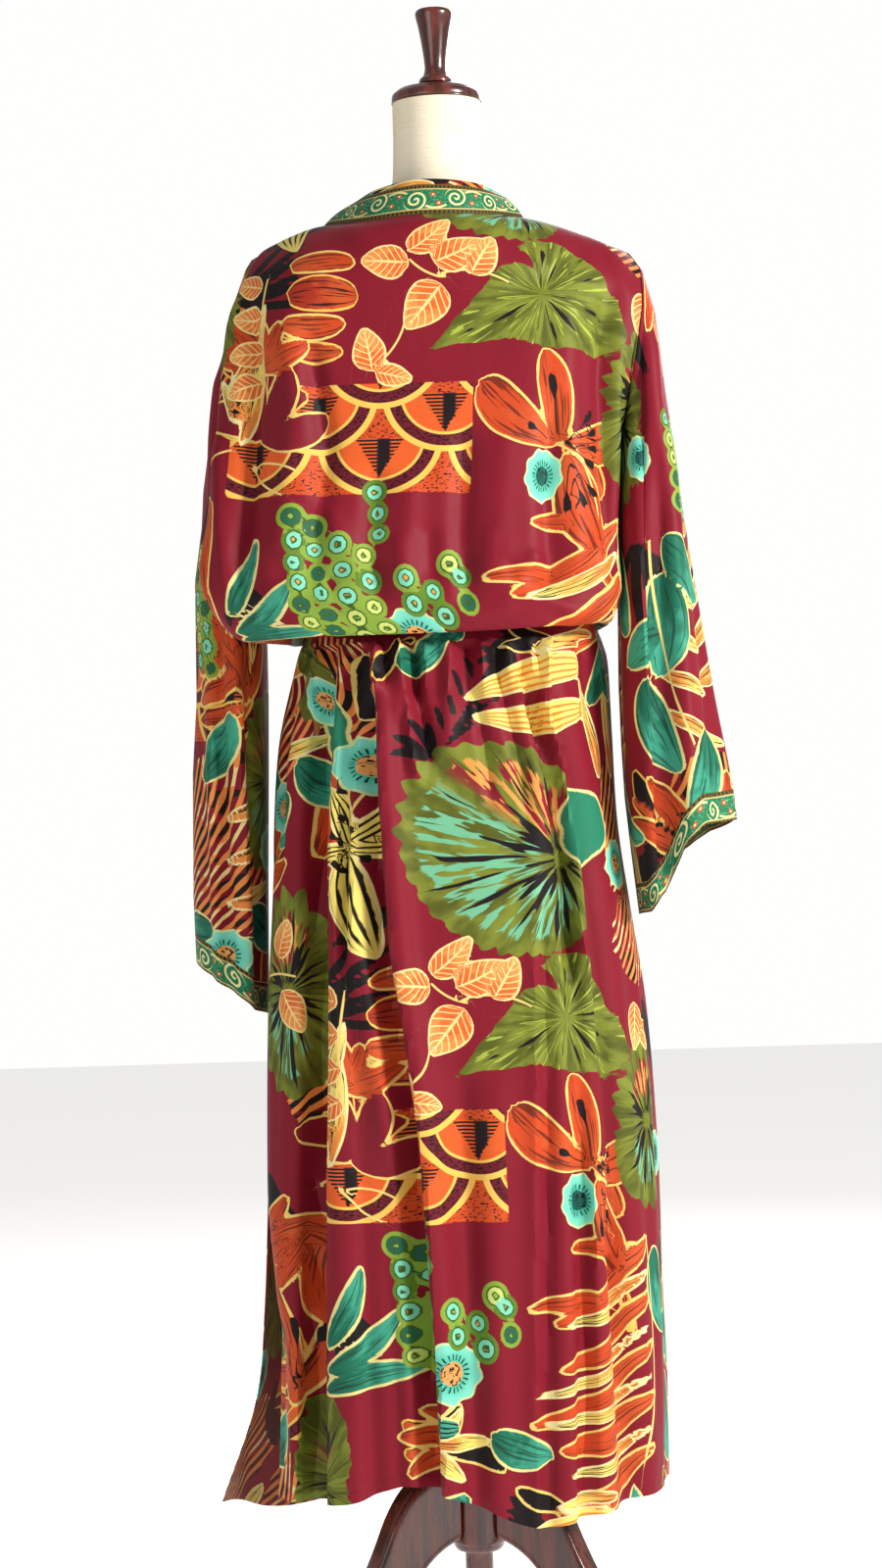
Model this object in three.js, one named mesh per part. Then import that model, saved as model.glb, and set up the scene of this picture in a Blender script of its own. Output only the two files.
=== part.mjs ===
// Kimono duster on a turned wooden dress form. Millimetres, +Z up, floor at z = 0.
// The garment's back faces -Y, its front faces +Y, the wearer's left side is at -X.
// Everything is laid out about the form's upright axis. At the end the whole group moves, so
// that the origin lies at the middle of the object's bottom.
import * as THREE from "three";

// ---------------------------------------------------------------- driving sizes
const WALL = 1.4; // cloth, measured across a sewn wall
const SEAM = 0.4; // clear gap between two sewn pieces
const ARMHOLE_SEAM = 1; // the same where the curved edges are faceted differently
const ARMHOLE_TOP = { left: 1476, right: 1471 };
const ARMHOLE_BOTTOM = 1205;
const CHEST_Z = 1400; // where the shoulder's rounding ends
const WAIST = { halfWidth: 146, halfDepth: 109, squareness: 2.25 };
const BELT = { bottom: 1103, top: 1132, clear: 1.6, wall: 2 };
const BAND = 36; // neck and front band, edge to edge
const CUFF_BAND = 30;
const OVERLAP_LIFT = 6; // the left front lies over the right one
const FAN_TOP = 560; // below this the rows of the skirt fan out to its hem

// ---------------------------------------------------------------- small maths
const lerp = (a, b, t) => a + (b - a) * t;
const smoothstep = (a, b, x) => {
  const t = Math.min(1, Math.max(0, (x - a) / (b - a)));
  return t * t * (3 - 2 * t);
};
const V = (x, y, z) => new THREE.Vector3(x, y, z);

// One cubic piece through four evenly spaced values.
function cubic(a, b, c, d, t) {
  const tangentB = (c - a) / 2;
  const tangentC = (d - b) / 2;
  const t2 = t * t;
  const t3 = t2 * t;
  return (
    (2 * t3 - 3 * t2 + 1) * b +
    (t3 - 2 * t2 + t) * tangentB +
    (3 * t2 - 2 * t3) * c +
    (t3 - t2) * tangentC
  );
}

// A smooth curve through the points of a list, at the list's own index t.
function along(points, t) {
  const last = points.length - 1;
  const i = Math.min(last - 1, Math.max(0, Math.floor(t)));
  const f = t - i;
  const b = points[i];
  const c = points[i + 1];
  const a = i > 0 ? points[i - 1] : b.clone().multiplyScalar(2).sub(c);
  const d = i + 2 <= last ? points[i + 2] : c.clone().multiplyScalar(2).sub(b);
  return V(
    cubic(a.x, b.x, c.x, d.x, f),
    cubic(a.y, b.y, c.y, d.y, f),
    cubic(a.z, b.z, c.z, d.z, f),
  );
}

// A column of a table at a key between its rows: straight between rows, flat past the ends.
function column(rows, key, name, at) {
  const up = rows[rows.length - 1][key] > rows[0][key];
  const sorted = up ? rows : [...rows].reverse();
  if (at <= sorted[0][key]) return sorted[0][name];
  for (let i = 1; i < sorted.length; i++) {
    if (at <= sorted[i][key]) {
      const t = (at - sorted[i - 1][key]) / (sorted[i][key] - sorted[i - 1][key]);
      return lerp(sorted[i - 1][name], sorted[i][name], t);
    }
  }
  return sorted[sorted.length - 1][name];
}

// ---------------------------------------------------------------- closed solids
// A cloth wall: the outer face's grid of points, and the step from each to the inner face.
// ring closes the grid across its columns, so that the wall is a tube open at both ends.
function clothWall(outer, inset, ring) {
  const rows = outer.length;
  const cols = outer[0].length;
  const positions = [];
  for (const face of [0, 1]) {
    for (let i = 0; i < rows; i++) {
      for (let j = 0; j < cols; j++) {
        const p = outer[i][j];
        const n = inset[i][j];
        positions.push(p.x + face * n.x, p.y + face * n.y, p.z + face * n.z);
      }
    }
  }
  const id = (face, i, j) => face * rows * cols + i * cols + (j % cols);
  const index = [];
  const quad = (a, b, c, d) => index.push(a, b, c, a, c, d);
  const spanCols = ring ? cols : cols - 1;
  for (let i = 0; i < rows - 1; i++) {
    for (let j = 0; j < spanCols; j++) {
      quad(id(0, i, j), id(0, i + 1, j), id(0, i + 1, j + 1), id(0, i, j + 1));
      quad(id(1, i, j), id(1, i, j + 1), id(1, i + 1, j + 1), id(1, i + 1, j));
    }
  }
  for (let j = 0; j < spanCols; j++) {
    quad(id(0, 0, j), id(0, 0, j + 1), id(1, 0, j + 1), id(1, 0, j));
    const e = rows - 1;
    quad(id(0, e, j), id(1, e, j), id(1, e, j + 1), id(0, e, j + 1));
  }
  if (!ring) {
    for (let i = 0; i < rows - 1; i++) {
      quad(id(0, i, 0), id(1, i, 0), id(1, i + 1, 0), id(0, i + 1, 0));
      const e = cols - 1;
      quad(id(0, i, e), id(0, i + 1, e), id(1, i + 1, e), id(1, i, e));
    }
  }
  return facingOut(positions, index);
}

function facingOut(positions, index) {
  let volume = 0;
  const at = (k) => V(positions[3 * k], positions[3 * k + 1], positions[3 * k + 2]);
  for (let i = 0; i < index.length; i += 3) {
    const b = at(index[i + 1]);
    volume += at(index[i]).dot(b.cross(at(index[i + 2])));
  }
  if (volume < 0) {
    for (let i = 0; i < index.length; i += 3) {
      [index[i + 1], index[i + 2]] = [index[i + 2], index[i + 1]];
    }
  }
  const geometry = new THREE.BufferGeometry();
  geometry.setAttribute("position", new THREE.Float32BufferAttribute(positions, 3));
  geometry.setIndex(index);
  geometry.computeVertexNormals();
  return geometry;
}

// Steps to the inner face, square to the grid. side is 1 or -1 and picks which way is in.
function insetOf(outer, thickness, side, ring) {
  const rows = outer.length;
  const cols = outer[0].length;
  return outer.map((row, i) =>
    row.map((p, j) => {
      const up = outer[Math.max(0, i - 1)][j];
      const down = outer[Math.min(rows - 1, i + 1)][j];
      const before = ring ? row[(j + cols - 1) % cols] : row[Math.max(0, j - 1)];
      const after = ring ? row[(j + 1) % cols] : row[Math.min(cols - 1, j + 1)];
      const n = down.clone().sub(up).cross(after.clone().sub(before));
      return n.normalize().multiplyScalar(thickness * side);
    }),
  );
}

// ---------------------------------------------------------------- sleeves
// Sections of a hanging sleeve. in and out are its edges nearest to and farthest from the body.
const sleeveRows = {
  left: [
    { z: 1476, in: -186, out: -192, mid: 0, half: 13 },
    { z: 1463, in: -184, out: -200, mid: 0, half: 28 },
    { z: 1429, in: -182, out: -213, mid: 3, half: 43 },
    { z: 1400, in: -181, out: -221, mid: 6, half: 50 },
    { z: 1346, in: -181, out: -234, mid: 12, half: 52 },
    { z: 1290, in: -182, out: -243, mid: 18, half: 54 },
    { z: 1242, in: -185, out: -251, mid: 24, half: 56 },
    { z: 1205, in: -186, out: -254, mid: 28, half: 58 },
    { z: 1151, in: -190, out: -263, mid: 36, half: 64 },
    { z: 1029, in: -191, out: -265, mid: 35, half: 74 },
    { z: 953, in: -193, out: -271, mid: 34, half: 76 },
    { z: 830, in: -197, out: -274, mid: 32, half: 76 },
    { z: 700, in: -200, out: -272, mid: 32, half: 76 },
  ],
  right: [
    { z: 1471, in: 185, out: 191, mid: 0, half: 12 },
    { z: 1450, in: 182, out: 205, mid: -3, half: 34 },
    { z: 1406, in: 179, out: 216, mid: -8, half: 54 },
    { z: 1341, in: 176, out: 222, mid: -14, half: 64 },
    { z: 1283, in: 173, out: 228, mid: -18, half: 66 },
    { z: 1205, in: 171, out: 237, mid: -22, half: 66 },
    { z: 1138, in: 169, out: 246, mid: -22, half: 68 },
    { z: 1028, in: 167, out: 262, mid: -20, half: 72 },
    { z: 966, in: 168, out: 272, mid: -20, half: 74 },
    { z: 914, in: 170, out: 280, mid: -18, half: 76 },
    { z: 860, in: 175, out: 285, mid: -16, half: 76 },
    { z: 790, in: 182, out: 285, mid: -14, half: 74 },
  ],
};
// Height of each cuff's free edge. turn is 0 at the underarm, 0.5 at the outer edge.
const cuffEdge = {
  left: [
    { turn: 0, z: 704 },
    { turn: 0.12, z: 712 },
    { turn: 0.25, z: 735 },
    { turn: 0.4, z: 756 },
    { turn: 0.5, z: 764 },
    { turn: 0.65, z: 752 },
    { turn: 0.85, z: 722 },
    { turn: 1, z: 704 },
  ],
  right: [
    { turn: 0, z: 797 },
    { turn: 0.1, z: 801 },
    { turn: 0.17, z: 822 },
    { turn: 0.24, z: 868 },
    { turn: 0.3, z: 887 },
    { turn: 0.5, z: 892 },
    { turn: 0.65, z: 878 },
    { turn: 0.85, z: 835 },
    { turn: 1, z: 797 },
  ],
};
// Long folds of the sleeves: x of the fold's line, its depth (outwards is positive) and width.
const sleeveFolds = {
  left: [
    { x: -206, depth: 9, width: 12, from: 1120, full: 1020 },
    { x: -238, depth: -7, width: 8, from: 1180, full: 1000 },
    { x: -255, depth: 4, width: 8, from: 1120, full: 900 },
  ],
  right: [
    { x: 186, depth: 15, width: 14, from: 1330, full: 1180 },
    { x: 209, depth: -9, width: 8, from: 1330, full: 1150 },
    { x: 243, depth: 4, width: 11, from: 1200, full: 960 },
  ],
};

function sleevePoint(side, turn, z) {
  const rows = sleeveRows[side];
  const inner = column(rows, "z", "in", z);
  const outer = column(rows, "z", "out", z);
  const mid = column(rows, "z", "mid", z);
  const half = column(rows, "z", "half", z);
  const angle = 2 * Math.PI * turn;
  const x = lerp(inner, outer, 0.5 - 0.5 * Math.cos(angle));
  const backness = Math.max(0, Math.sin(angle));
  let y = mid - half * Math.sin(angle);
  for (const fold of sleeveFolds[side]) {
    const grown = 1 - smoothstep(fold.full, fold.from, z);
    y -= grown * backness * fold.depth * Math.exp(-(((x - fold.x) / fold.width) ** 2));
  }
  return V(x, y, z);
}

const armholeZ = (side, turn) =>
  lerp(ARMHOLE_BOTTOM, ARMHOLE_TOP[side], Math.sin(Math.PI * turn));
const cuffZ = (side, turn) => column(cuffEdge[side], "turn", "z", turn);

const SLEEVE_TURNS = 24;
const SLEEVE_STEPS = 15;

function sleeve(side) {
  const grid = [];
  for (let i = 0; i <= SLEEVE_STEPS; i++) {
    const row = [];
    for (let j = 0; j < SLEEVE_TURNS; j++) {
      const turn = j / SLEEVE_TURNS;
      const top = armholeZ(side, turn);
      const bottom = cuffZ(side, turn) + CUFF_BAND + SEAM;
      row.push(sleevePoint(side, turn, lerp(top, bottom, i / SLEEVE_STEPS)));
    }
    grid.push(row);
  }
  const inset = insetOf(grid, WALL, side === "left" ? 1 : -1, true);
  const outward = side === "left" ? -1 : 1;
  for (const n of inset[0]) {
    if (n.x * outward < 0) n.setX(0).setLength(WALL);
  }
  levelLastRow(inset);
  return clothWall(grid, inset, true);
}

function cuff(side) {
  const grid = [CUFF_BAND, CUFF_BAND / 2, 0].map((above) =>
    Array.from({ length: SLEEVE_TURNS }, (_, j) => {
      const turn = j / SLEEVE_TURNS;
      return sleevePoint(side, turn, cuffZ(side, turn) + above);
    }),
  );
  const inset = insetOf(grid, WALL, side === "left" ? 1 : -1, true);
  for (const n of inset[0]) n.setZ(0).setLength(WALL);
  return clothWall(grid, inset, true);
}

function levelLastRow(inset) {
  for (const n of inset[inset.length - 1]) n.setZ(0).setLength(WALL);
}

// A point of the armhole's seam at a height, on the back (-1) or the front (1) half.
function armholeAt(side, z, half) {
  const share = (z - ARMHOLE_BOTTOM) / (ARMHOLE_TOP[side] - ARMHOLE_BOTTOM);
  const quarter = Math.asin(Math.min(1, Math.max(0, share))) / Math.PI;
  const turn = half < 0 ? quarter : 1 - quarter;
  const p = sleevePoint(side, turn, z);
  p.x += side === "left" ? ARMHOLE_SEAM : -ARMHOLE_SEAM;
  return p;
}

// ---------------------------------------------------------------- body sections
// The shoulder and neck line, left to right, where back and fronts meet the band.
const neckLine = [
  { x: -192, y: 0, z: 1476 },
  { x: -158, y: 0, z: 1492 },
  { x: -120, y: -3, z: 1507 },
  { x: -80, y: -62, z: 1500 },
  { x: -24, y: -84, z: 1502 },
  { x: 40, y: -66, z: 1504 },
  { x: 88, y: -3, z: 1509 },
  { x: 140, y: 0, z: 1492 },
  { x: 191, y: 0, z: 1471 },
];

// The free edge of the band where it stands round the neck.
const neckFree = [
  V(-90, -2, 1528), V(-62, -48, 1535), V(-18, -70, 1540), V(34, -54, 1538), V(66, -2, 1533),
];

// One row for each section, from the chest to above the hem. lx, ly and rx, ry are the back
// panel's widest points, back and front the depths at the middle, seams at the sides.
// sagL and sagR lift the section's ends, and tuck is a point that leads the left end round
// the sleeve. The rows past the blouse's lowest edge turn under
// it and climb to the belt, so that the cloth overhangs the waist.
const sections = [
  { z: 1400, sagL: 0, sagR: 0, lx: -214, ly: -66, back: -118, rx: 170, ry: -76, front: 104 },
  { z: 1320, sagL: 0, sagR: 0, lx: -226, ly: -76, back: -125, rx: 168, ry: -82, front: 122,
    tuckX: -196, tuckY: -42 },
  { z: 1260, sagL: 0, sagR: 0, lx: -232, ly: -84, back: -131, rx: 168, ry: -86, front: 127,
    tuckX: -185, tuckY: -34 },
  { z: 1206, sagL: 0, sagR: 0, lx: -240, ly: -90, back: -138, rx: 167, ry: -90, front: 126,
    slx: -185, sly: 28, srx: 170, sry: -22, tuckX: -184, tuckY: -20 },
  { z: 1154, sagL: 0, sagR: 0, lx: -249, ly: -94, back: -145, rx: 167, ry: -94, front: 123,
    slx: -182, sly: 20, srx: 166, sry: -18, tuckX: -181, tuckY: -28 },
  { z: 1116, sagL: 0, sagR: 6, lx: -240, ly: -96, back: -149, rx: 164, ry: -96, front: 121,
    slx: -176, sly: 14, srx: 164, sry: -14, tuckX: -178, tuckY: -32 },
  { z: 1084, sagL: -2, sagR: 8, lx: -208, ly: -92, back: -141, rx: 154, ry: -90, front: 119,
    slx: -168, sly: 8, srx: 159, sry: -9 },
  { z: 1096, sagL: 0, sagR: 4, lx: -178, ly: -78, back: -131, rx: 143, ry: -78, front: 117,
    slx: -161, sly: 4, srx: 152, sry: -5 },
];
const TUCK = 0.4; // a section's second point lies this far from its seam to its widest point
const climb = [
  { z: 1140, grow: 8 },
  { z: 1150, grow: 4 },
  { z: 1138, grow: 0 },
  { z: 1097, grow: 0 },
];
const skirtSections = [
  { z: 1074, lx: -142, ly: -50, back: -118, rx: 141, ry: -48, front: 116, slx: -156, sly: 0,
    srx: 153, sry: 0 },
  { z: 1050, lx: -150, ly: -56, back: -128, rx: 146, ry: -52, front: 124, slx: -163, sly: 0,
    srx: 158, sry: 0 },
  { z: 980, lx: -164, ly: -62, back: -136, rx: 150, ry: -56, front: 132, slx: -180, sly: 0,
    srx: 160, sry: 0 },
  { z: 890, lx: -172, ly: -66, back: -140, rx: 153, ry: -58, front: 138, slx: -188, sly: 0,
    srx: 163, sry: 0 },
  { z: 800, lx: -178, ly: -68, back: -141, rx: 162, ry: -60, front: 141, slx: -190, sly: 0,
    srx: 174, sry: 0 },
  { z: 700, lx: -184, ly: -70, back: -142, rx: 172, ry: -62, front: 143, slx: -197, sly: 0,
    srx: 187, sry: 0 },
  { z: 560, lx: -190, ly: -72, back: -143, rx: 180, ry: -64, front: 145, slx: -203, sly: 0,
    srx: 194, sry: 0 },
];
// Below the slit's top the rows fan out to the hem. share runs from the slit's top to the hem.
const hemSections = [
  { share: 0.4, lx: -186, ly: -90, back: -144, rx: 182, ry: -66, front: 147, slx: -192,
    sly: -50, srx: 195, sry: 0, flx: -212, fly: 2 },
  { share: 0.66, lx: -186, ly: -94, back: -146, rx: 183, ry: -68, front: 149, slx: -194,
    sly: -57, srx: 197, sry: 0, flx: -224, fly: 6 },
  { share: 1, lx: -190, ly: -98, back: -149, rx: 178, ry: -70, front: 151, slx: -200,
    sly: -62, srx: 196, sry: 0, flx: -262, fly: 14 },
];
const hemLine = {
  back: [
    { x: -200, z: 226 },
    { x: -152, z: 238 },
    { x: -100, z: 228 },
    { x: -75, z: 244 },
    { x: -50, z: 262 },
    { x: -22, z: 238 },
    { x: 17, z: 221 },
    { x: 61, z: 204 },
    { x: 92, z: 211 },
    { x: 160, z: 216 },
    { x: 196, z: 226 },
  ],
  front: [
    { x: -262, z: 207 },
    { x: -238, z: 186 },
    { x: -195, z: 176 },
    { x: -150, z: 184 },
    { x: -60, z: 196 },
    { x: 60, z: 204 },
    { x: 196, z: 224 },
  ],
};

// The long folds of the skirt's back: x of the fold at each height. A ridge lifts the cloth by
// depth over width to both sides; a step drops everything on its right by depth.
const skirtFolds = [
  { kind: "ridge", depth: 10, width: 13, top: 1092, line: [
    { z: 1086, x: -72 }, { z: 934, x: -72 }, { z: 771, x: -62 }, { z: 595, x: -43 },
    { z: 359, x: -33 }, { z: 200, x: -30 } ] },
  { kind: "ridge", depth: -13, width: 11, top: 1060, line: [
    { z: 1060, x: -128 }, { z: 890, x: -143 }, { z: 688, x: -148 }, { z: 553, x: -156 },
    { z: 200, x: -166 } ] },
  { kind: "ridge", depth: -8, width: 12, top: 1085, line: [
    { z: 1085, x: -95 }, { z: 958, x: -112 }, { z: 800, x: -112 }, { z: 200, x: -100 } ] },
  { kind: "ridge", depth: -9, width: 11, top: 1090, line: [
    { z: 1090, x: 62 }, { z: 948, x: 96 }, { z: 700, x: 108 }, { z: 200, x: 112 } ] },
  { kind: "step", depth: 15, width: 9, top: 1090, line: [
    { z: 1095, x: 92 }, { z: 987, x: 119 }, { z: 867, x: 139 }, { z: 734, x: 152 },
    { z: 560, x: 163 }, { z: 200, x: 176 } ] },
];
const FOLD_RISE = 70; // a fold grows to its depth over this length below its top

function foldedOut(x, z) {
  let out = 0;
  for (const fold of skirtFolds) {
    const grown = smoothstep(fold.top, fold.top - FOLD_RISE, z);
    const off = (x - column(fold.line, "z", "x", z)) / fold.width;
    if (fold.kind === "ridge") out += grown * fold.depth * Math.exp(-off * off);
    else out -= grown * fold.depth * smoothstep(-1, 1, off);
  }
  return out;
}

// A point of the belted waist. angle runs from the left side (0) over the back to the right.
function waistPoint(angle, grow, z) {
  const power = 2 / WAIST.squareness;
  const c = Math.cos(angle);
  const s = Math.sin(angle);
  const x = -(WAIST.halfWidth + grow) * Math.sign(c) * Math.abs(c) ** power;
  const y = -(WAIST.halfDepth + grow) * Math.sign(s) * Math.abs(s) ** power;
  return V(x, y, z);
}

// How far from the middle the waist's surface stands at x.
function waistDepth(x, grow) {
  const across = Math.min(1, Math.abs(x) / (WAIST.halfWidth + grow));
  const power = WAIST.squareness;
  return (WAIST.halfDepth + grow) * (1 - across ** power) ** (1 / power);
}

const ROUNDING = 2.5; // how square the back's and the fronts' sections are
const arch = (f) => (1 - Math.abs(f) ** ROUNDING) ** (1 / ROUNDING);

function sagAt(s, f) {
  return f < 0 ? (s.sagL ?? 0) * f * f : (s.sagR ?? 0) * f * f;
}

// The back panel's control points at one section, from its left edge to its right edge.
function backSection(s, leftEdge, rightEdge, zOf) {
  const row = [];
  for (let k = 0; k <= 6; k++) {
    const f = (k - 3) / 3;
    const end = f < 0 ? s.ly : s.ry;
    const x = lerp(s.lx, s.rx, k / 6);
    row.push(V(x, end + (s.back - end) * arch(f), zOf(x, f)));
  }
  const left = leftEdge.clone().lerp(row[0], TUCK);
  if (s.tuckX) left.set(s.tuckX, s.tuckY, left.z);
  const right = rightEdge.clone().lerp(row[6], TUCK);
  return [leftEdge, left, ...row, right, rightEdge];
}

function neckControls() {
  const points = neckLine.map((p) => V(p.x, p.y - SEAM / 2, p.z));
  points[0].x += ARMHOLE_SEAM;
  points[8].x -= ARMHOLE_SEAM;
  const left = points[0].clone().lerp(points[1], TUCK);
  const right = points[8].clone().lerp(points[7], TUCK);
  return [points[0], left, ...points.slice(1, 8), right, points[8]];
}

const WAIST_TURNS = [0, 0.5, 1, 2, 3, 4, 5, 6, 7, 7.5, 8].map((k) => (k * Math.PI) / 8);

function backNet() {
  const net = [];
  const neck = neckControls();
  const armholes = (z) => [armholeAt("left", z, -1), armholeAt("right", z, -1)];
  const chest = sections[0];
  const chestRow = backSection(chest, ...armholes(chest.z), () => chest.z);
  net.push(neck);
  for (const turn of [1 / 3, 2 / 3]) {
    const round = Math.sin((turn * Math.PI) / 2);
    const fall = Math.cos((turn * Math.PI) / 2);
    const row = chestRow.map((r, k) => {
      const t = neck[k];
      return V(lerp(t.x, r.x, turn), lerp(t.y, r.y, round), lerp(r.z, t.z, fall));
    });
    row[0] = armholeAt("left", row[0].z, -1);
    row[row.length - 1] = armholeAt("right", row[row.length - 1].z, -1);
    net.push(row);
  }
  for (const s of sections) {
    const ends =
      s.slx === undefined
        ? armholes(s.z)
        : [V(s.slx, s.sly, s.z + sagAt(s, -1)), V(s.srx, s.sry, s.z + sagAt(s, 1))];
    net.push(backSection(s, ...ends, (x, f) => s.z + sagAt(s, f)));
  }
  for (const c of climb) net.push(WAIST_TURNS.map((angle) => waistPoint(angle, c.grow, c.z)));
  for (const s of skirtSections) {
    net.push(backSection(s, V(s.slx, s.sly, s.z), V(s.srx, s.sry, s.z), () => s.z));
  }
  for (const s of hemSections) {
    const fan = (x) => lerp(FAN_TOP, column(hemLine.back, "x", "z", x), s.share);
    const ends = [V(s.slx, s.sly, fan(s.slx)), V(s.srx, s.sry, fan(s.srx))];
    net.push(backSection(s, ...ends, fan));
  }
  return net;
}

// Fronts. edge is the x of the seam between the panel and its band at each height.
const frontEdge = {
  left: [
    { z: 1507, x: -120 }, { z: 1446, x: -108 }, { z: 1400, x: -94 }, { z: 1320, x: -66 },
    { z: 1206, x: -25 }, { z: 1116, x: 6 }, { z: 1050, x: 18 }, { z: 700, x: 24 },
    { z: 200, x: 30 },
  ],
  right: [
    { z: 1509, x: 88 }, { z: 1446, x: 78 }, { z: 1400, x: 66 }, { z: 1320, x: 42 },
    { z: 1206, x: 5 }, { z: 1116, x: -22 }, { z: 1050, x: -30 }, { z: 700, x: -36 },
    { z: 200, x: -42 },
  ],
};
const FRONT_SHARES = [0, 0.04, 0.14, 0.32, 0.6, 1];

// How far the front surface stands forward at x, between a side edge and the middle.
function frontDepth(x, edge, depth) {
  const f = Math.min(1, Math.abs(x / edge.x));
  return edge.y + (depth - edge.y) * arch(f);
}

function frontLift(side, x) {
  return side === "left" ? OVERLAP_LIFT * smoothstep(-118, -84, x) : 0;
}

// A front's control points at one section, and last its band's free edge.
function frontRow(side, edge, depth, zOf, zKey) {
  const inner = column(frontEdge[side], "z", "x", zKey);
  const across = FRONT_SHARES.map((share) => lerp(edge.x, inner, share));
  across.push(inner + (side === "left" ? BAND : -BAND));
  return across.map((x) =>
    V(x, frontDepth(x, edge, depth) + frontLift(side, x), zOf(x)),
  );
}

function frontNet(side) {
  const left = side === "left";
  const net = [];
  const top = (left ? [0, 1, 2] : [8, 7, 6]).map((k) => neckLine[k]);
  const shoulder = FRONT_SHARES.map((share) => {
    const p = along(top.map((q) => V(q.x, 0, q.z)), share * 2);
    p.y = SEAM / 2;
    return p;
  });
  shoulder[0].x += left ? ARMHOLE_SEAM : -ARMHOLE_SEAM;
  shoulder.push(neckFree[left ? 0 : neckFree.length - 1].clone());
  net.push(shoulder);
  const chest = sections[0];
  const chestEdge = armholeAt(side, chest.z, 1);
  const chestRow = frontRow(side, chestEdge, chest.front, () => chest.z, chest.z);
  for (const turn of [1 / 3, 2 / 3]) {
    const round = Math.sin((turn * Math.PI) / 2);
    const fall = Math.cos((turn * Math.PI) / 2);
    const row = chestRow.map((r, k) => {
      const t = shoulder[k];
      return V(lerp(t.x, r.x, turn), lerp(t.y, r.y, round), lerp(r.z, t.z, fall));
    });
    row[0] = armholeAt(side, lerp(CHEST_Z, ARMHOLE_TOP[side], fall), 1);
    net.push(row);
  }
  const sideX = left ? "slx" : "srx";
  const sideY = left ? "sly" : "sry";
  const sag = left ? "sagL" : "sagR";
  for (const s of sections) {
    const edge =
      s.slx === undefined
        ? armholeAt(side, s.z, 1)
        : V(s[sideX], s[sideY] + SEAM, s.z);
    net.push(frontRow(side, edge, s.front, sagging(s, sag, edge), s.z));
  }
  for (const c of climb) {
    const waist = waistPoint(left ? 0 : Math.PI, c.grow, c.z);
    const inner = column(frontEdge[side], "z", "x", 1120);
    const across = FRONT_SHARES.map((share) => lerp(waist.x, inner, share));
    across.push(inner + (left ? BAND : -BAND));
    net.push(
      across.map((x) => {
        const inwards = smoothstep(0.95, 0.5, Math.abs(x / waist.x));
        const grow = c.grow * (1 - inwards);
        const y = waistDepth(x, grow);
        return V(x, Math.max(SEAM, y) + frontLift(side, x), lerp(c.z, plainFall(c), inwards));
      }),
    );
  }
  for (const s of skirtSections) {
    const edge = V(s[sideX], s[sideY] + SEAM, s.z);
    net.push(frontRow(side, edge, s.front, () => s.z, s.z));
  }
  for (const s of hemSections) {
    const edge = left ? V(s.flx, s.fly, 0) : V(s.srx, s.sry + SEAM, 0);
    const fan = (x) => lerp(FAN_TOP, column(hemLine.front, "x", "z", x), s.share);
    net.push(frontRow(side, edge, s.front, fan, lerp(FAN_TOP, 200, s.share)));
  }
  return net;
}

// The fronts fall straight to the belt: their blousing fades out towards the front edge.
const PLAIN_FALL = { 1154: 1186, 1116: 1174, 1084: 1166, 1096: 1160, 1140: 1154, 1150: 1147 };
const plainFall = (s) => PLAIN_FALL[s.z] ?? s.z;
function sagging(s, sag, edge) {
  return (x) => {
    const share = 1 - Math.min(1, Math.abs(x / edge.x));
    const z = s.z + (s[sag] ?? 0) * (1 - share);
    return lerp(z, plainFall(s), smoothstep(0.1, 0.6, share));
  };
}

// Samples of a net of control points. Each gap between its rows, and between its columns
// from the one given, takes the steps listed.
function sampleNet(net, rowSteps, columnSteps, firstColumn = 0) {
  const spread = (steps, first) => {
    const at = [];
    steps.forEach((count, i) => {
      for (let n = 0; n < count; n++) at.push(first + i + n / count);
    });
    return [...at, first + steps.length];
  };
  const across = spread(columnSteps, firstColumn);
  return spread(rowSteps, 0).map((v) =>
    across.map((u) => along(net.map((row) => along(row, u)), v)),
  );
}

const BACK_STEPS = [2, 2, 4, 4, 4, 4, 4, 4, 2, 2];
const BACK_COLUMNS = BACK_STEPS.reduce((sum, n) => sum + n, 0);
const FRONT_STEPS = [2, 2, 2, 2, 2];
const FRONT_COLUMNS = FRONT_STEPS.reduce((sum, n) => sum + n, 0);
const NET_STEPS = [1, 1, 1, 2, 1, 1, 1, 1, 2, 1, 1, 1, 1, 1, 1, 1, 2, 2, 2, 2, 3, 2, 1, 2];
const SIDE_SEAM_ROW = 6; // the net's row at the underarm

function backPanel() {
  const net = backNet();
  const grid = sampleNet(net, NET_STEPS, BACK_STEPS);
  for (const row of grid.slice(skirtStart())) {
    for (const p of row) {
      const inside = smoothstep(0, 40, Math.min(p.x + 205, 200 - p.x));
      p.y -= inside * foldedOut(p.x, p.z) * smoothstep(-20, -60, p.y);
    }
  }
  fitSide(grid, 0, "left", -1);
  fitSide(grid, BACK_COLUMNS, "right", -1);
  for (const p of grid[0]) p.y = Math.min(p.y, -SEAM / 2);
  const inset = insetOf(grid, WALL, -1, false);
  sideInsets(grid, inset, 0, 1);
  sideInsets(grid, inset, BACK_COLUMNS, -1);
  inset[0] = grid[0].map(neckInset);
  return clothWall(grid, inset, false);
}

// The first sampled row below the belt.
const skirtStart = () => rowOf(3 + sections.length + climb.length);

const rowOf = (netRow) => NET_STEPS.slice(0, netRow).reduce((sum, n) => sum + n, 0);

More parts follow.
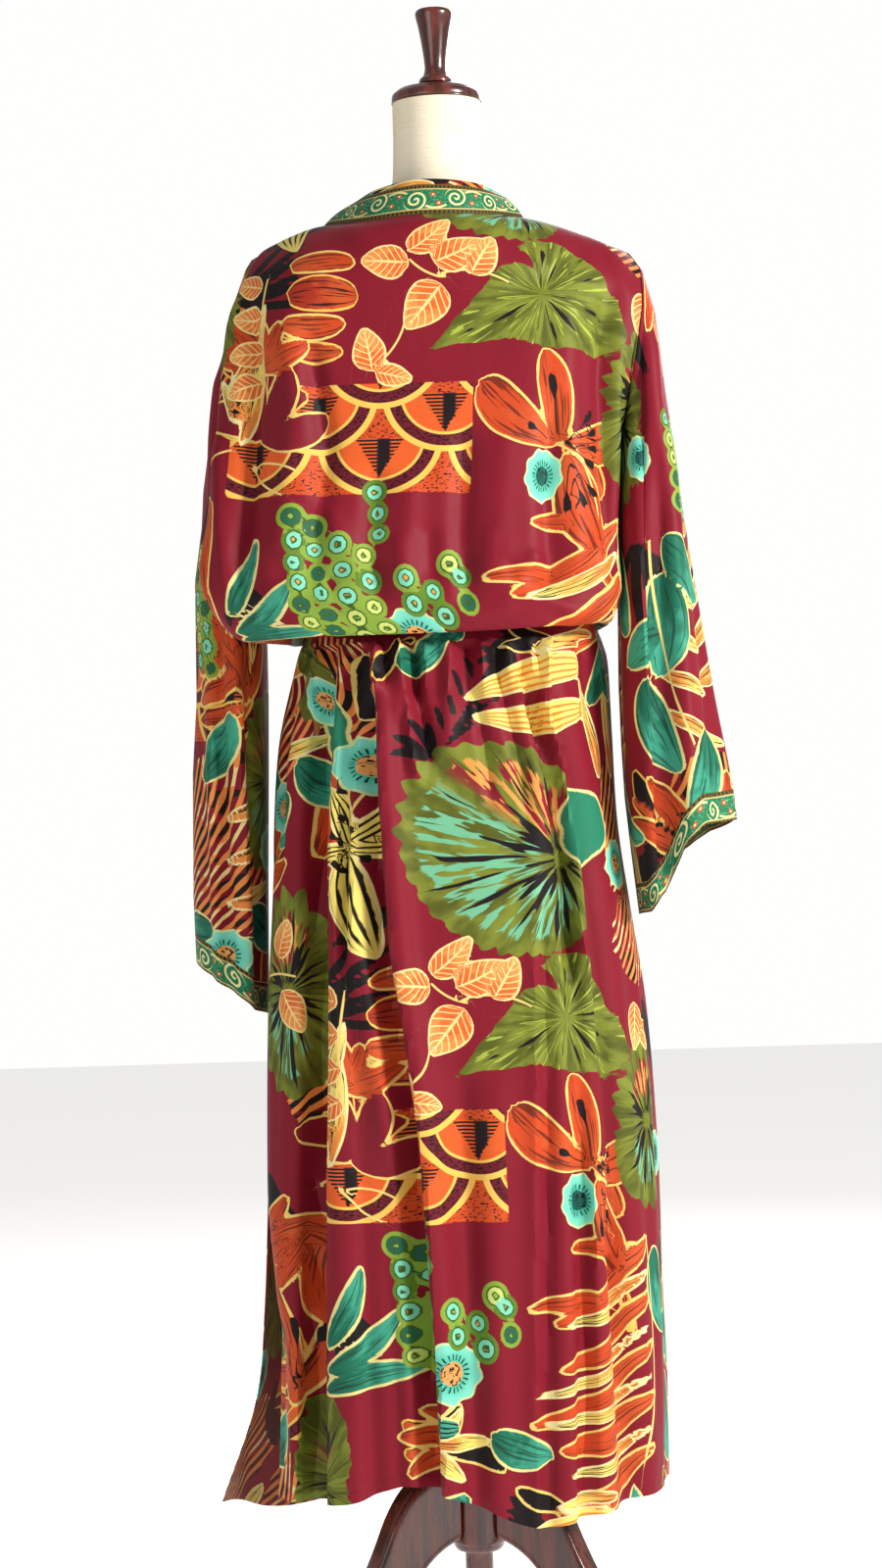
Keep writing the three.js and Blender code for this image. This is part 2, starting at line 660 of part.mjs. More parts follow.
// A panel's side edge follows the sleeve's edge above the underarm, and below the belt the
// two panels stay on their own sides of the seam.
function fitSide(grid, j, side, half) {
  grid.forEach((row, i) => {
    const p = row[j];
    if (i > 0 && i < rowOf(SIDE_SEAM_ROW)) p.copy(armholeAt(side, p.z, half));
    if (i >= skirtStart()) p.y = half * Math.max(half * p.y, SEAM / 2);
  });
}

// Below the underarm both panels step in square to the shared seam, in the X-Z plane.
function sideInsets(grid, inset, j, inward) {
  for (let i = rowOf(SIDE_SEAM_ROW) + 1; i < grid.length; i++) {
    const up = grid[i - 1][j];
    const down = grid[Math.min(grid.length - 1, i + 1)][j];
    const n = V(up.z - down.z, 0, inward * (down.x - up.x));
    inset[i][j].copy(n.setLength(WALL)).setX(n.x * inward);
    inset[i][j].z = n.z;
  }
}

// On the shoulders the walls step straight down, and round the neck towards the form.
function neckInset(p) {
  const down = smoothstep(-30, -3, p.y);
  return V(0, 1 - down, -down).setLength(WALL);
}

function frontPanel(side) {
  const net = frontNet(side);
  const grid = sampleNet(net, NET_STEPS, FRONT_STEPS);
  fitSide(grid, 0, side, 1);
  for (const p of grid[0]) p.y = SEAM / 2;
  const inset = insetOf(grid, WALL, side === "left" ? 1 : -1, false);
  sideInsets(grid, inset, 0, side === "left" ? 1 : -1);
  grid[0].forEach((p, j) => inset[0][j].copy(V(0, 0, -WALL)));
  for (const row of inset) {
    const n = row[FRONT_COLUMNS];
    if (row !== inset[0]) n.copy(V(0, -WALL, 0));
  }
  return clothWall(grid, inset, false);
}

// ---------------------------------------------------------------- band round the neck
// Its seam runs up the left front, round the neck and down the right front.
const NECK_STEPS = 16; // as many as the back panel has along the neck

function bandGrid() {
  const side = (name, toward) =>
    sampleNet(frontNet(name), NET_STEPS, [2], FRONT_SHARES.length - 1)
      .slice(1)
      .map(([seam, middle, free]) => [seam.add(V(toward * SEAM, 0, 0)), middle, free]);
  const neck = [];
  const neckSeam = neckLine.slice(1, 8).map((p) => V(p.x, p.y, p.z + 1.5 * SEAM));
  for (let i = 0; i <= NECK_STEPS; i++) {
    const t = (i / NECK_STEPS) * (neckFree.length - 1);
    const seam = along(neckSeam, t + 1);
    const free = along(neckFree, t);
    neck.push([seam, seam.clone().lerp(free, 0.5), free]);
  }
  const path = [...side("left", 1).reverse(), ...neck, ...side("right", -1)];
  return [0, 1, 2].map((k) => path.map((across) => across[k]));
}

function neckBand() {
  const grid = bandGrid();
  const inset = insetOf(grid, WALL, 1, false);
  const first = (grid[0].length - NECK_STEPS - 1) / 2;
  grid[0].forEach((p, j) => {
    const standing = j >= first && j <= first + NECK_STEPS;
    inset[0][j] = standing ? neckInset(p) : V(0, -WALL, 0);
  });
  return clothWall(grid, inset, false);
}

// ---------------------------------------------------------------- belt
const BELT_TURNS = 40;

function belt() {
  const ring = (z) =>
    Array.from({ length: BELT_TURNS }, (_, j) => {
      const p = waistPoint((j / BELT_TURNS) * 2 * Math.PI, BELT.clear + BELT.wall, z);
      if (p.y > 0) p.y += OVERLAP_LIFT * smoothstep(0, 40, p.y) * smoothstep(115, 75, p.x);
      return p;
    });
  const grid = [ring(BELT.top), ring(BELT.bottom)];
  return clothWall(grid, insetOf(grid, BELT.wall, -1, true), true);
}

const KNOT = { x: 6, z: 1122, width: 50, height: 42, depth: 22 };
const knotY = WAIST.halfDepth + OVERLAP_LIFT + BELT.clear + BELT.wall + SEAM + KNOT.depth / 2;

function beltKnot() {
  const ball = new THREE.SphereGeometry(0.5, 14, 8);
  ball.rotateX(Math.PI / 2);
  ball.scale(KNOT.width, KNOT.depth, KNOT.height);
  return ball.translate(KNOT.x, knotY, KNOT.z);
}

const beltTails = {
  first: { top: V(-8, knotY + 5, 1101.7), lean: -26, length: 380, width: 36 },
  second: { top: V(18, knotY + 5, 1101.5), lean: 30, length: 350, width: 36 },
};
const TAIL_STEPS = 10;

function beltTail(tail) {
  const grid = [];
  for (let i = 0; i <= TAIL_STEPS; i++) {
    const t = i / TAIL_STEPS;
    const half = (tail.width / 2) * (0.6 + 0.4 * smoothstep(0, 0.3, t));
    const middle = tail.top.x + tail.lean * t;
    const y = tail.top.y + 22 * smoothstep(0, 0.45, t) + 2 * Math.sin(t * 9);
    const z = tail.top.z - tail.length * t;
    grid.push([-1, 0, 1].map((k) => V(middle + half * k, y - Math.abs(k) * 2, z)));
  }
  return clothWall(grid, insetOf(grid, WALL, 1, false), false);
}

// ---------------------------------------------------------------- dress form
const formRows = [
  { z: 842, halfWidth: 120, halfDepth: 84 },
  { z: 850, halfWidth: 140, halfDepth: 98 },
  { z: 900, halfWidth: 146, halfDepth: 104 },
  { z: 980, halfWidth: 144, halfDepth: 103 },
  { z: 1060, halfWidth: 130, halfDepth: 94 },
  { z: 1120, halfWidth: 119, halfDepth: 86 },
  { z: 1180, halfWidth: 124, halfDepth: 89 },
  { z: 1260, halfWidth: 140, halfDepth: 98 },
  { z: 1340, halfWidth: 151, halfDepth: 101 },
  { z: 1400, halfWidth: 160, halfDepth: 92 },
  { z: 1440, halfWidth: 167, halfDepth: 74 },
  { z: 1462, halfWidth: 168, halfDepth: 56 },
  { z: 1476, halfWidth: 158, halfDepth: 44 },
  { z: 1489, halfWidth: 132, halfDepth: 42 },
  { z: 1500, halfWidth: 96, halfDepth: 46 },
  { z: 1514, halfWidth: 62, halfDepth: 49 },
  { z: 1540, halfWidth: 49, halfDepth: 47 },
  { z: 1580, halfWidth: 45.5, halfDepth: 45 },
  { z: 1629, halfWidth: 45, halfDepth: 45 },
];
const FORM_TURNS = 24;

function formBody() {
  const positions = [];
  const index = [];
  for (const row of formRows) {
    for (let j = 0; j < FORM_TURNS; j++) {
      const angle = (j / FORM_TURNS) * 2 * Math.PI;
      positions.push(row.halfWidth * Math.cos(angle), row.halfDepth * Math.sin(angle), row.z);
    }
  }
  const last = formRows.length - 1;
  for (let i = 0; i < last; i++) {
    for (let j = 0; j < FORM_TURNS; j++) {
      const next = (j + 1) % FORM_TURNS;
      const a = i * FORM_TURNS;
      const b = a + FORM_TURNS;
      index.push(a + j, a + next, b + next, a + j, b + next, b + j);
    }
  }
  const bottom = positions.length / 3;
  positions.push(0, 0, formRows[0].z, 0, 0, formRows[last].z);
  for (let j = 0; j < FORM_TURNS; j++) {
    const next = (j + 1) % FORM_TURNS;
    index.push(bottom, next, j);
    index.push(bottom + 1, last * FORM_TURNS + j, last * FORM_TURNS + next);
  }
  return facingOut(positions, index);
}

// A turned piece: radius at each height, from its foot to its head.
function turned(profile, segments) {
  const points = profile.map(([radius, z]) => new THREE.Vector2(radius, z));
  const geometry = new THREE.LatheGeometry(points, segments);
  return geometry.rotateX(Math.PI / 2);
}

const FORM_TOP = formRows[formRows.length - 1].z;
const FORM_FOOT = formRows[0].z;
const CAP_BASE = FORM_TOP + SEAM;
const FINIAL_BASE = 1649;
const HUB = { bottom: 154, top: 300, radius: 29 };

const capProfile = [
  [0, CAP_BASE], [43, CAP_BASE], [45.5, CAP_BASE + 3], [45, CAP_BASE + 9],
  [38, CAP_BASE + 15], [22, CAP_BASE + 18.5], [0, FINIAL_BASE - SEAM],
];
const finialProfile = [
  [0, FINIAL_BASE], [16, FINIAL_BASE], [17, FINIAL_BASE + 3], [12, FINIAL_BASE + 8],
  [10.5, FINIAL_BASE + 16], [12, FINIAL_BASE + 32], [16, FINIAL_BASE + 54],
  [19, FINIAL_BASE + 70], [18, FINIAL_BASE + 74], [10, FINIAL_BASE + 76], [0, FINIAL_BASE + 76.5],
];
const poleProfile = [
  [0, HUB.top + SEAM], [13, HUB.top + SEAM], [13, FORM_FOOT - SEAM], [0, FORM_FOOT - SEAM],
];
const hubProfile = [
  [0, HUB.bottom], [21, HUB.bottom], [26, HUB.bottom + 5], [HUB.radius, HUB.bottom + 14],
  [HUB.radius, 250], [25, 262], [27, 274], [20, 290], [16, HUB.top], [0, HUB.top],
];

// ---------------------------------------------------------------- legs
const LEG = { thickness: 30, bevel: 3, count: 3, firstAngle: 90, footInner: 236, footOuter: 284 };

// A leg's outline, seen from its side: distance from the hub's axis, and height.
function legShape() {
  const root = HUB.radius + SEAM + LEG.bevel;
  const low = LEG.bevel;
  const s = new THREE.Shape();
  s.moveTo(root, 170);
  s.lineTo(root, 236);
  s.bezierCurveTo(58, 246, 84, 232, 106, 186);
  s.bezierCurveTo(134, 122, 176, 58, 232, 40);
  s.bezierCurveTo(252, 34, 280, 36, LEG.footOuter - LEG.bevel, 22);
  s.lineTo(LEG.footOuter - LEG.bevel, low);
  s.lineTo(LEG.footInner + LEG.bevel, low);
  s.bezierCurveTo(186, 12, 132, 52, 92, 116);
  s.bezierCurveTo(78, 142, 60, 160, root, 170);
  return s;
}

function leg(number) {
  const geometry = new THREE.ExtrudeGeometry(legShape(), {
    depth: LEG.thickness - 2 * LEG.bevel,
    bevelEnabled: true,
    bevelThickness: LEG.bevel,
    bevelSize: LEG.bevel,
    bevelSegments: 1,
    curveSegments: 7,
  });
  geometry.translate(0, 0, -LEG.thickness / 2 + LEG.bevel);
  geometry.rotateX(Math.PI / 2);
  const turn = THREE.MathUtils.degToRad(LEG.firstAngle + (360 / LEG.count) * number);
  return geometry.rotateZ(turn);
}

// ---------------------------------------------------------------- assembly
const finishes = {
  print: { color: 0x8c1f2c, roughness: 0.6, metalness: 0 },
  border: { color: 0x2e7f58, roughness: 0.6, metalness: 0 },
  linen: { color: 0xf0e2c6, roughness: 0.9, metalness: 0 },
  wood: { color: 0x54221a, roughness: 0.3, metalness: 0 },
};

const pieces = [
  ["back", backPanel(), "print"],
  ["front_left", frontPanel("left"), "print"],
  ["front_right", frontPanel("right"), "print"],
  ["sleeve_left", sleeve("left"), "print"],
  ["sleeve_right", sleeve("right"), "print"],
  ["cuff_left", cuff("left"), "border"],
  ["cuff_right", cuff("right"), "border"],
  ["neck_band", neckBand(), "border"],
  ["belt", belt(), "print"],
  ["belt_knot", beltKnot(), "print"],
  ["belt_tail_1", beltTail(beltTails.first), "print"],
  ["belt_tail_2", beltTail(beltTails.second), "print"],
  ["form_body", formBody(), "linen"],
  ["neck_cap", turned(capProfile, 28), "wood"],
  ["finial", turned(finialProfile, 20), "wood"],
  ["pole", turned(poleProfile, 16), "wood"],
  ["hub", turned(hubProfile, 20), "wood"],
];
for (let n = 0; n < LEG.count; n++) pieces.push([`leg_${n + 1}`, leg(n), "wood"]);

const duster = new THREE.Group();
for (const [name, geometry, finish] of pieces) {
  const mesh = new THREE.Mesh(geometry, new THREE.MeshStandardMaterial(finishes[finish]));
  mesh.name = name;
  duster.add(mesh);
}

const extent = new THREE.Box3().setFromObject(duster);
const middle = extent.getCenter(V(0, 0, 0));
duster.position.set(-middle.x, -middle.y, 0);

export default duster;
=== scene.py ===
import math
import bpy
import numpy as np
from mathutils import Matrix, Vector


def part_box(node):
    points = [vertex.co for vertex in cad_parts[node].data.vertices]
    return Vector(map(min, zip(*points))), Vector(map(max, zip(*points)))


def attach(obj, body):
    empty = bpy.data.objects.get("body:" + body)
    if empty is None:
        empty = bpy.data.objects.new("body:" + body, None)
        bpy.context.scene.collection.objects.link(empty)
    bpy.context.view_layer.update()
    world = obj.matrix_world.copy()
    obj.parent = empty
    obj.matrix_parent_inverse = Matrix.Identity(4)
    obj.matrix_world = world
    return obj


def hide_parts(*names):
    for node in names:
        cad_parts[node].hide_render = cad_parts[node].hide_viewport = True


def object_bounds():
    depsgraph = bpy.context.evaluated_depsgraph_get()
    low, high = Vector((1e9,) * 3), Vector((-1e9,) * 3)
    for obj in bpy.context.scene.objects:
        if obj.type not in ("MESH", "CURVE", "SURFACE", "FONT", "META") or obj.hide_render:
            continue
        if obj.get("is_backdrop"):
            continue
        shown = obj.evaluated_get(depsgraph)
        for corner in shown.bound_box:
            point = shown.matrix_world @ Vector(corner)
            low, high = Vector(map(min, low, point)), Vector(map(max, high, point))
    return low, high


# A kimono duster on a dress form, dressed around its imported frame. Lengths in the tables are
# millimetres about the form's upright axis, with the garment's back towards -Y.
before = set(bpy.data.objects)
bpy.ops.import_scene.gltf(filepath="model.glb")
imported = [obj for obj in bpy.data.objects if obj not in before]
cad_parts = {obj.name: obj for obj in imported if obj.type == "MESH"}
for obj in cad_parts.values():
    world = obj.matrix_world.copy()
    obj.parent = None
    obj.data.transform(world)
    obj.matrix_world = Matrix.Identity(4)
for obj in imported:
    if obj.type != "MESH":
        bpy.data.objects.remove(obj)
cad_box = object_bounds()
AXIS = np.array(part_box("pole")).mean(axis=0) * 1000 * np.array([1, 1, 0])
SPACING = 4.6  # between the cloth's points
CLOTH = 0.9  # thickness of the cloth shells
SEAM = 0.4  # gap between two pieces that are sewn together
ARMHOLE_SEAM = 1
ARMHOLE_TOP = {"left": 1476, "right": 1471}
ARMHOLE_BOTTOM = 1205
CHEST = 1400  # height of the first row below the shoulder's rounding
CUFF_BAND = 30
BAND = 36  # width of the neck and front band
OVERLAP_LIFT = 6  # how far the left front stands out over the right one
OVERLAP = (-118, -84)  # where it starts to lift, and where it is up
FAN_TOP = 560  # height below which the skirt's rows fan out to its hem
HEM = 200
WAIST_WIDTH, WAIST_DEPTH, WAIST_SQUARE = 146, 109, 2.25  # half sizes and power of its outline
BELT_BOTTOM, BELT_TOP, BELT_CLEAR, BELT_WALL = 1103, 1132, 1.6, 2
AWAY_FROM_HEM = 100.0  # distance given to cloth that shows no hem
NEAR_EDGE = 0.4  # share of the way from a side edge to the next point


# ------------------------------------------------------------------ curves and tables
def lerp(a, b, t):
    """Straight mix: a plus t times the step from a to b."""
    return a + (b - a) * t


def smoothstep(a, b, x):
    """0 at a, 1 at b, and t^2 (3 - 2t) between them, with t the share of the way."""
    t = np.clip((x - a) / (b - a), 0, 1)
    return t * t * (3 - 2 * t)


def column(rows, at):
    """Second value of a two-column table at a key: straight between rows, flat past the ends."""
    table = np.array(sorted(rows))
    return np.interp(at, table[:, 0], table[:, 1])


def through(points, t):
    """Smooth curve through points at their own index t: one cubic between each two, whose
    slopes are half the step between the neighbours. Works on whole arrays of points."""
    points = np.asarray(points, float)
    t = np.asarray(t, float)
    last = len(points) - 1
    i = np.clip(np.floor(t).astype(int), 0, last - 1)
    f = (t - i).reshape((-1,) + (1,) * (points.ndim - 1))
    ends = np.concatenate([2 * points[:1] - points[1:2], points, 2 * points[-1:] - points[-2:-1]])
    a, b, c, d = ends[i], ends[i + 1], ends[i + 2], ends[i + 3]
    f2, f3 = f * f, f * f * f
    return (
        (2 * f3 - 3 * f2 + 1) * b
        + (f3 - 2 * f2 + f) * (c - a) / 2
        + (3 * f2 - 2 * f3) * c
        + (f3 - f2) * (d - b) / 2
    )


def net_at(net, v, u):
    """Points of a net of rows and columns at row indices v and column indices u."""
    across = through(np.swapaxes(net, 0, 1), u)
    return through(np.swapaxes(across, 0, 1), v)


def path_lengths(points, axis=0):
    """Path length to each point along an axis, from the first one."""
    steps = np.linalg.norm(np.diff(points, axis=axis), axis=-1)
    start = np.zeros_like(steps.take([0], axis=axis))
    return np.concatenate([start, np.cumsum(steps, axis=axis)], axis=axis)


def even(points, spacing):
    """Row indices of a grid of points that lie evenly along its mean column."""
    steps = np.linalg.norm(np.diff(points, axis=0), axis=2).mean(axis=1)
    path = np.concatenate([[0], np.cumsum(steps)])
    count = max(2, int(round(path[-1] / spacing)))
    return np.interp(np.linspace(0, path[-1], count + 1), path, np.arange(len(path)))


def even_net(net, spacing, first=0.0, last=None):
    """The net sampled at even spacing both ways, with its row indices. The path lengths come
    from a first sampling at even indices."""
    rows, cols = 400, 120
    last = net.shape[1] - 1 if last is None else last
    fine_v = np.linspace(0, net.shape[0] - 1, rows)
    fine_u = np.linspace(first, last, cols)
    rough = net_at(net, fine_v, fine_u)
    v = np.interp(even(rough, spacing), np.arange(rows), fine_v)
    u = np.interp(even(np.swapaxes(rough, 0, 1), spacing), np.arange(cols), fine_u)
    return net_at(net, v, u), v


def table(names, *rows):
    """Rows as records, with each row's values under the names in turn."""
    return [dict(zip(names.split(), row)) for row in rows]


# ------------------------------------------------------------------ sleeves
SLEEVES = {  # height, inner x, outer x, middle y, half depth
    "left": np.array([
        (1476, -186, -192, 0, 13), (1463, -184, -200, 0, 28), (1429, -182, -213, 3, 43),
        (1400, -181, -221, 6, 50), (1346, -181, -234, 12, 52), (1290, -182, -243, 18, 54),
        (1242, -185, -251, 24, 56), (1205, -186, -254, 28, 58), (1151, -190, -263, 36, 64),
        (1029, -191, -265, 35, 74), (953, -193, -271, 34, 76), (830, -197, -274, 32, 76),
        (700, -200, -272, 32, 76)], float),
    "right": np.array([
        (1471, 185, 191, 0, 12), (1450, 182, 205, -3, 34), (1406, 179, 216, -8, 54),
        (1341, 176, 222, -14, 64), (1283, 173, 228, -18, 66), (1205, 171, 237, -22, 66),
        (1138, 169, 246, -22, 68), (1028, 167, 262, -20, 72), (966, 168, 272, -20, 74),
        (914, 170, 280, -18, 76), (860, 175, 285, -16, 76), (790, 182, 285, -14, 74)], float),
}
CUFF_EDGES = {  # turn round the sleeve, height of the cuff's edge
    "left": [(0, 704), (0.12, 712), (0.25, 735), (0.4, 756), (0.5, 764), (0.65, 752),
             (0.85, 722), (1, 704)],
    "right": [(0, 797), (0.1, 801), (0.17, 822), (0.24, 868), (0.3, 887), (0.5, 892),
              (0.65, 878), (0.85, 835), (1, 797)],
}
SLEEVE_FOLDS = {  # x, depth, width, height where it starts, height where it is full
    "left": [(-206, 9, 12, 1120, 1020), (-238, -7, 8, 1180, 1000), (-255, 4, 8, 1120, 900)],
    "right": [(186, 15, 14, 1330, 1180), (209, -9, 8, 1330, 1150), (243, 4, 11, 1200, 960)],
}


def sleeve_point(side, turn, z):
    """Points of a sleeve at a share of a turn and a height: x goes from its inner to its outer
    edge as a cosine, and y leaves its middle line as a sine. Each fold presses the back by its
    depth times a bell in x, times the sine."""
    rows = SLEEVES[side][::-1]
    inner, outer, mid, half = (np.interp(z, rows[:, 0], rows[:, k]) for k in (1, 2, 3, 4))
    angle = 2 * np.pi * np.asarray(turn, float)
    x = lerp(inner, outer, 0.5 - 0.5 * np.cos(angle))
    y = mid - half * np.sin(angle)
    for at, depth, width, start, full in SLEEVE_FOLDS[side]:
        grown = 1 - smoothstep(full, start, z)
        y = y - grown * np.maximum(0, np.sin(angle)) * depth * np.exp(-(((x - at) / width) ** 2))
    return np.stack(np.broadcast_arrays(x, y, z), axis=-1).astype(float)


def armhole_at(side, z, half):
    """Points one seam inside the sleeve's upper edge at a height, on its back for half -1 and
    its front for 1. The turn is the arcsine of the height's share of the armhole, over pi."""
    share = np.clip((z - ARMHOLE_BOTTOM) / (ARMHOLE_TOP[side] - ARMHOLE_BOTTOM), 0, 1)
    quarter = np.arcsin(share) / np.pi
    p = sleeve_point(side, quarter if half < 0 else 1 - quarter, z)
    p[..., 0] += ARMHOLE_SEAM if side == "left" else -ARMHOLE_SEAM
    return p


# ------------------------------------------------------------------ body nets
NECK_LINE = np.array([  # shoulder seams and back of the neck, from left to right
    (-192, 0, 1476), (-158, 0, 1492), (-120, -3, 1507), (-80, -62, 1500), (-24, -84, 1502),
    (40, -66, 1504), (88, -3, 1509), (140, 0, 1492), (191, 0, 1471)], float)
NECK_FREE = np.array([  # the band's free edge behind the neck
    (-90, -2, 1528), (-62, -48, 1535), (-18, -70, 1540), (34, -54, 1538), (66, -2, 1533)], float)
# Rows of the body. lx and rx: the side turns; ly and ry: their depths; back and front: the
# depths in the middle; sl and sr: the side seams; sag: drop of the blouse; tuck: a point set
# in under the sleeve; fl: the left front's own edge.
SECTIONS = table(
    "z sagL sagR lx ly back rx ry front slx sly srx sry tuckX tuckY",
    (1400, 0, 0, -214, -66, -118, 170, -76, 104),
    (1320, 0, 0, -226, -76, -125, 168, -82, 122, None, 0, 0, 0, -196, -42),
    (1260, 0, 0, -232, -84, -131, 168, -86, 127, None, 0, 0, 0, -185, -34),
    (1206, 0, 0, -240, -90, -138, 167, -90, 126, -185, 28, 170, -22, -184, -20),
    (1154, 0, 0, -249, -94, -145, 167, -94, 123, -182, 20, 166, -18, -181, -28),
    (1116, 0, 6, -240, -96, -149, 164, -96, 121, -176, 14, 164, -14, -178, -32),
    (1084, -2, 8, -208, -92, -141, 154, -90, 119, -168, 8, 159, -9),
    (1096, 0, 4, -178, -78, -131, 143, -78, 117, -161, 4, 152, -5))
CLIMB = [(1140, 8), (1150, 4), (1138, 0), (1097, 0)]  # under the blouse: height, off the waist
SKIRT = table(
    "z lx ly back rx ry front slx sly srx sry",
    (1074, -142, -50, -118, 141, -48, 116, -156, 0, 153, 0),
    (1050, -150, -56, -128, 146, -52, 124, -163, 0, 158, 0),
    (980, -164, -62, -136, 150, -56, 132, -180, 0, 160, 0),
    (890, -172, -66, -140, 153, -58, 138, -188, 0, 163, 0),
    (800, -178, -68, -141, 162, -60, 141, -190, 0, 174, 0),
    (700, -184, -70, -142, 172, -62, 143, -197, 0, 187, 0),
    (560, -190, -72, -143, 180, -64, 145, -203, 0, 194, 0))
HEMS = table(
    "share lx ly back rx ry front slx sly srx sry flx fly",
    (0.4, -186, -90, -144, 182, -66, 147, -192, -50, 195, 0, -212, 2),
    (0.66, -186, -94, -146, 183, -68, 149, -194, -57, 197, 0, -224, 6),
    (1, -190, -98, -149, 178, -70, 151, -200, -62, 196, 0, -262, 14))
# the hem's height by x
HEM_BACK = [(-200, 226), (-152, 238), (-100, 228), (-75, 244), (-50, 262), (-22, 238), (17, 221),
            (61, 204), (92, 211), (160, 216), (196, 226)]
HEM_FRONT = [(-262, 207), (-238, 186), (-195, 176), (-150, 184), (-60, 196), (60, 204), (196, 224)]
SKIRT_FOLDS = [  # kind, depth, width, top, line of (z, x)
    ("ridge", 10, 13, 1092,
     [(1086, -72), (934, -72), (771, -62), (595, -43), (359, -33), (200, -30)]),
    ("ridge", -13, 11, 1060, [(1060, -128), (890, -143), (688, -148), (553, -156), (200, -166)]),
    ("ridge", -8, 12, 1085, [(1085, -95), (958, -112), (800, -112), (200, -100)]),
    ("ridge", -9, 11, 1090, [(1090, 62), (948, 96), (700, 108), (200, 112)]),
    ("step", 15, 9, 1090, [(1095, 92), (987, 119), (867, 139), (734, 152), (560, 163), (200, 176)]),
]
FRONT_EDGE = {  # x of each front's inner edge by height
    "left": [(1507, -120), (1446, -108), (1400, -94), (1320, -66), (1206, -25), (1116, 6),
             (1050, 18), (700, 24), (200, 30)],
    "right": [(1509, 88), (1446, 78), (1400, 66), (1320, 42), (1206, 5), (1116, -22),
              (1050, -30), (700, -36), (200, -42)],
}
FRONT_SHARES = [0, 0.04, 0.14, 0.32, 0.6, 1]  # of the way from a front's side to its inner edge
BAND_COLUMN = len(FRONT_SHARES) - 1  # the nets' column where a front ends and its band begins
# the height that each row of the blouse keeps where it hangs plain, by its height at the side
PLAIN_FALL = {1154: 1186, 1116: 1174, 1084: 1166, 1096: 1160, 1140: 1154, 1150: 1147}
CHEST_ROW = 3
HIDDEN_ROW = CHEST_ROW + 7.2  # cloth from here to the skirt is turned in under the blouse
SKIRT_ROW = CHEST_ROW + len(SECTIONS) + len(CLIMB)  # the nets' first row below the belt
SIDE_SEAM_ROW = 6  # the last row that meets the armhole


def folded_out(x, z):
    """How far the skirt's large folds stand out: a bell across each ridge and a smooth step
    down across each step, grown over 70 mm from their top."""
    out = 0
    for kind, depth, width, top, line in SKIRT_FOLDS:
        grown = smoothstep(top, top - 70, z)
        off = (x - column(line, z)) / width
        bump = np.exp(-off * off) if kind == "ridge" else -smoothstep(-1, 1, off)
        out = out + grown * depth * bump
    return out


def waist_point(angle, grow, z):
    """A point of the waist's outline, an ellipse made squarer: cosine and sine of the angle, each
    raised to 2 over its power, times the half width and the half depth."""
    c, s = math.cos(angle), math.sin(angle)
    power = 2 / WAIST_SQUARE
    return np.array([-(WAIST_WIDTH + grow) * math.copysign(abs(c) ** power, c),
                     -(WAIST_DEPTH + grow) * math.copysign(abs(s) ** power, s), z])


def waist_depth(x, grow):
    """The same outline's depth at x: (1 - share of the half width^power)^(1 / power)."""
    across = min(1, abs(x) / (WAIST_WIDTH + grow))
    return (WAIST_DEPTH + grow) * (1 - across ** WAIST_SQUARE) ** (1 / WAIST_SQUARE)


def arch(f):
    """1 in the middle and 0 at both ends: (1 - f^2.5)^0.4."""
    return (1 - abs(f) ** 2.5) ** 0.4


def sag_at(s, f):
    """Drop of the blouse on its side, growing as the square of f from the middle out."""
    return s["sagL" if f < 0 else "sagR"] * f * f


def back_section(s, left_edge, right_edge, z_of):
    """A row of the back: seven points between the side turns, whose depth follows the arch, and
    two points towards each side edge."""
    row = []
    for k in range(7):
        f = (k - 3) / 3
        end = s["ly"] if f < 0 else s["ry"]
        x = lerp(s["lx"], s["rx"], k / 6)
        row.append(np.array([x, end + (s["back"] - end) * arch(f), z_of(x, f)]))
    left, right = lerp(left_edge, row[0], NEAR_EDGE), lerp(right_edge, row[6], NEAR_EDGE)
    if s.get("tuckX"):
        left = np.array([s["tuckX"], s["tuckY"], left[2]])
    return np.array([left_edge, left, *row, right, right_edge], float)


def rounding_rows(top, chest, sides, half):
    """The two rows between the shoulder line and the chest: y swings out, then z falls."""
    rows = []
    for turn in (1 / 3, 2 / 3):
        out, fall = math.sin(turn * math.pi / 2), math.cos(turn * math.pi / 2)
        row = np.stack([lerp(top[:, 0], chest[:, 0], turn), lerp(top[:, 1], chest[:, 1], out),
                        lerp(chest[:, 2], top[:, 2], fall)], axis=1)
        for j, side in sides:
            z = row[j, 2] if half < 0 else lerp(CHEST, ARMHOLE_TOP[side], fall)
            row[j] = armhole_at(side, z, half)
        rows.append(row)
    return rows


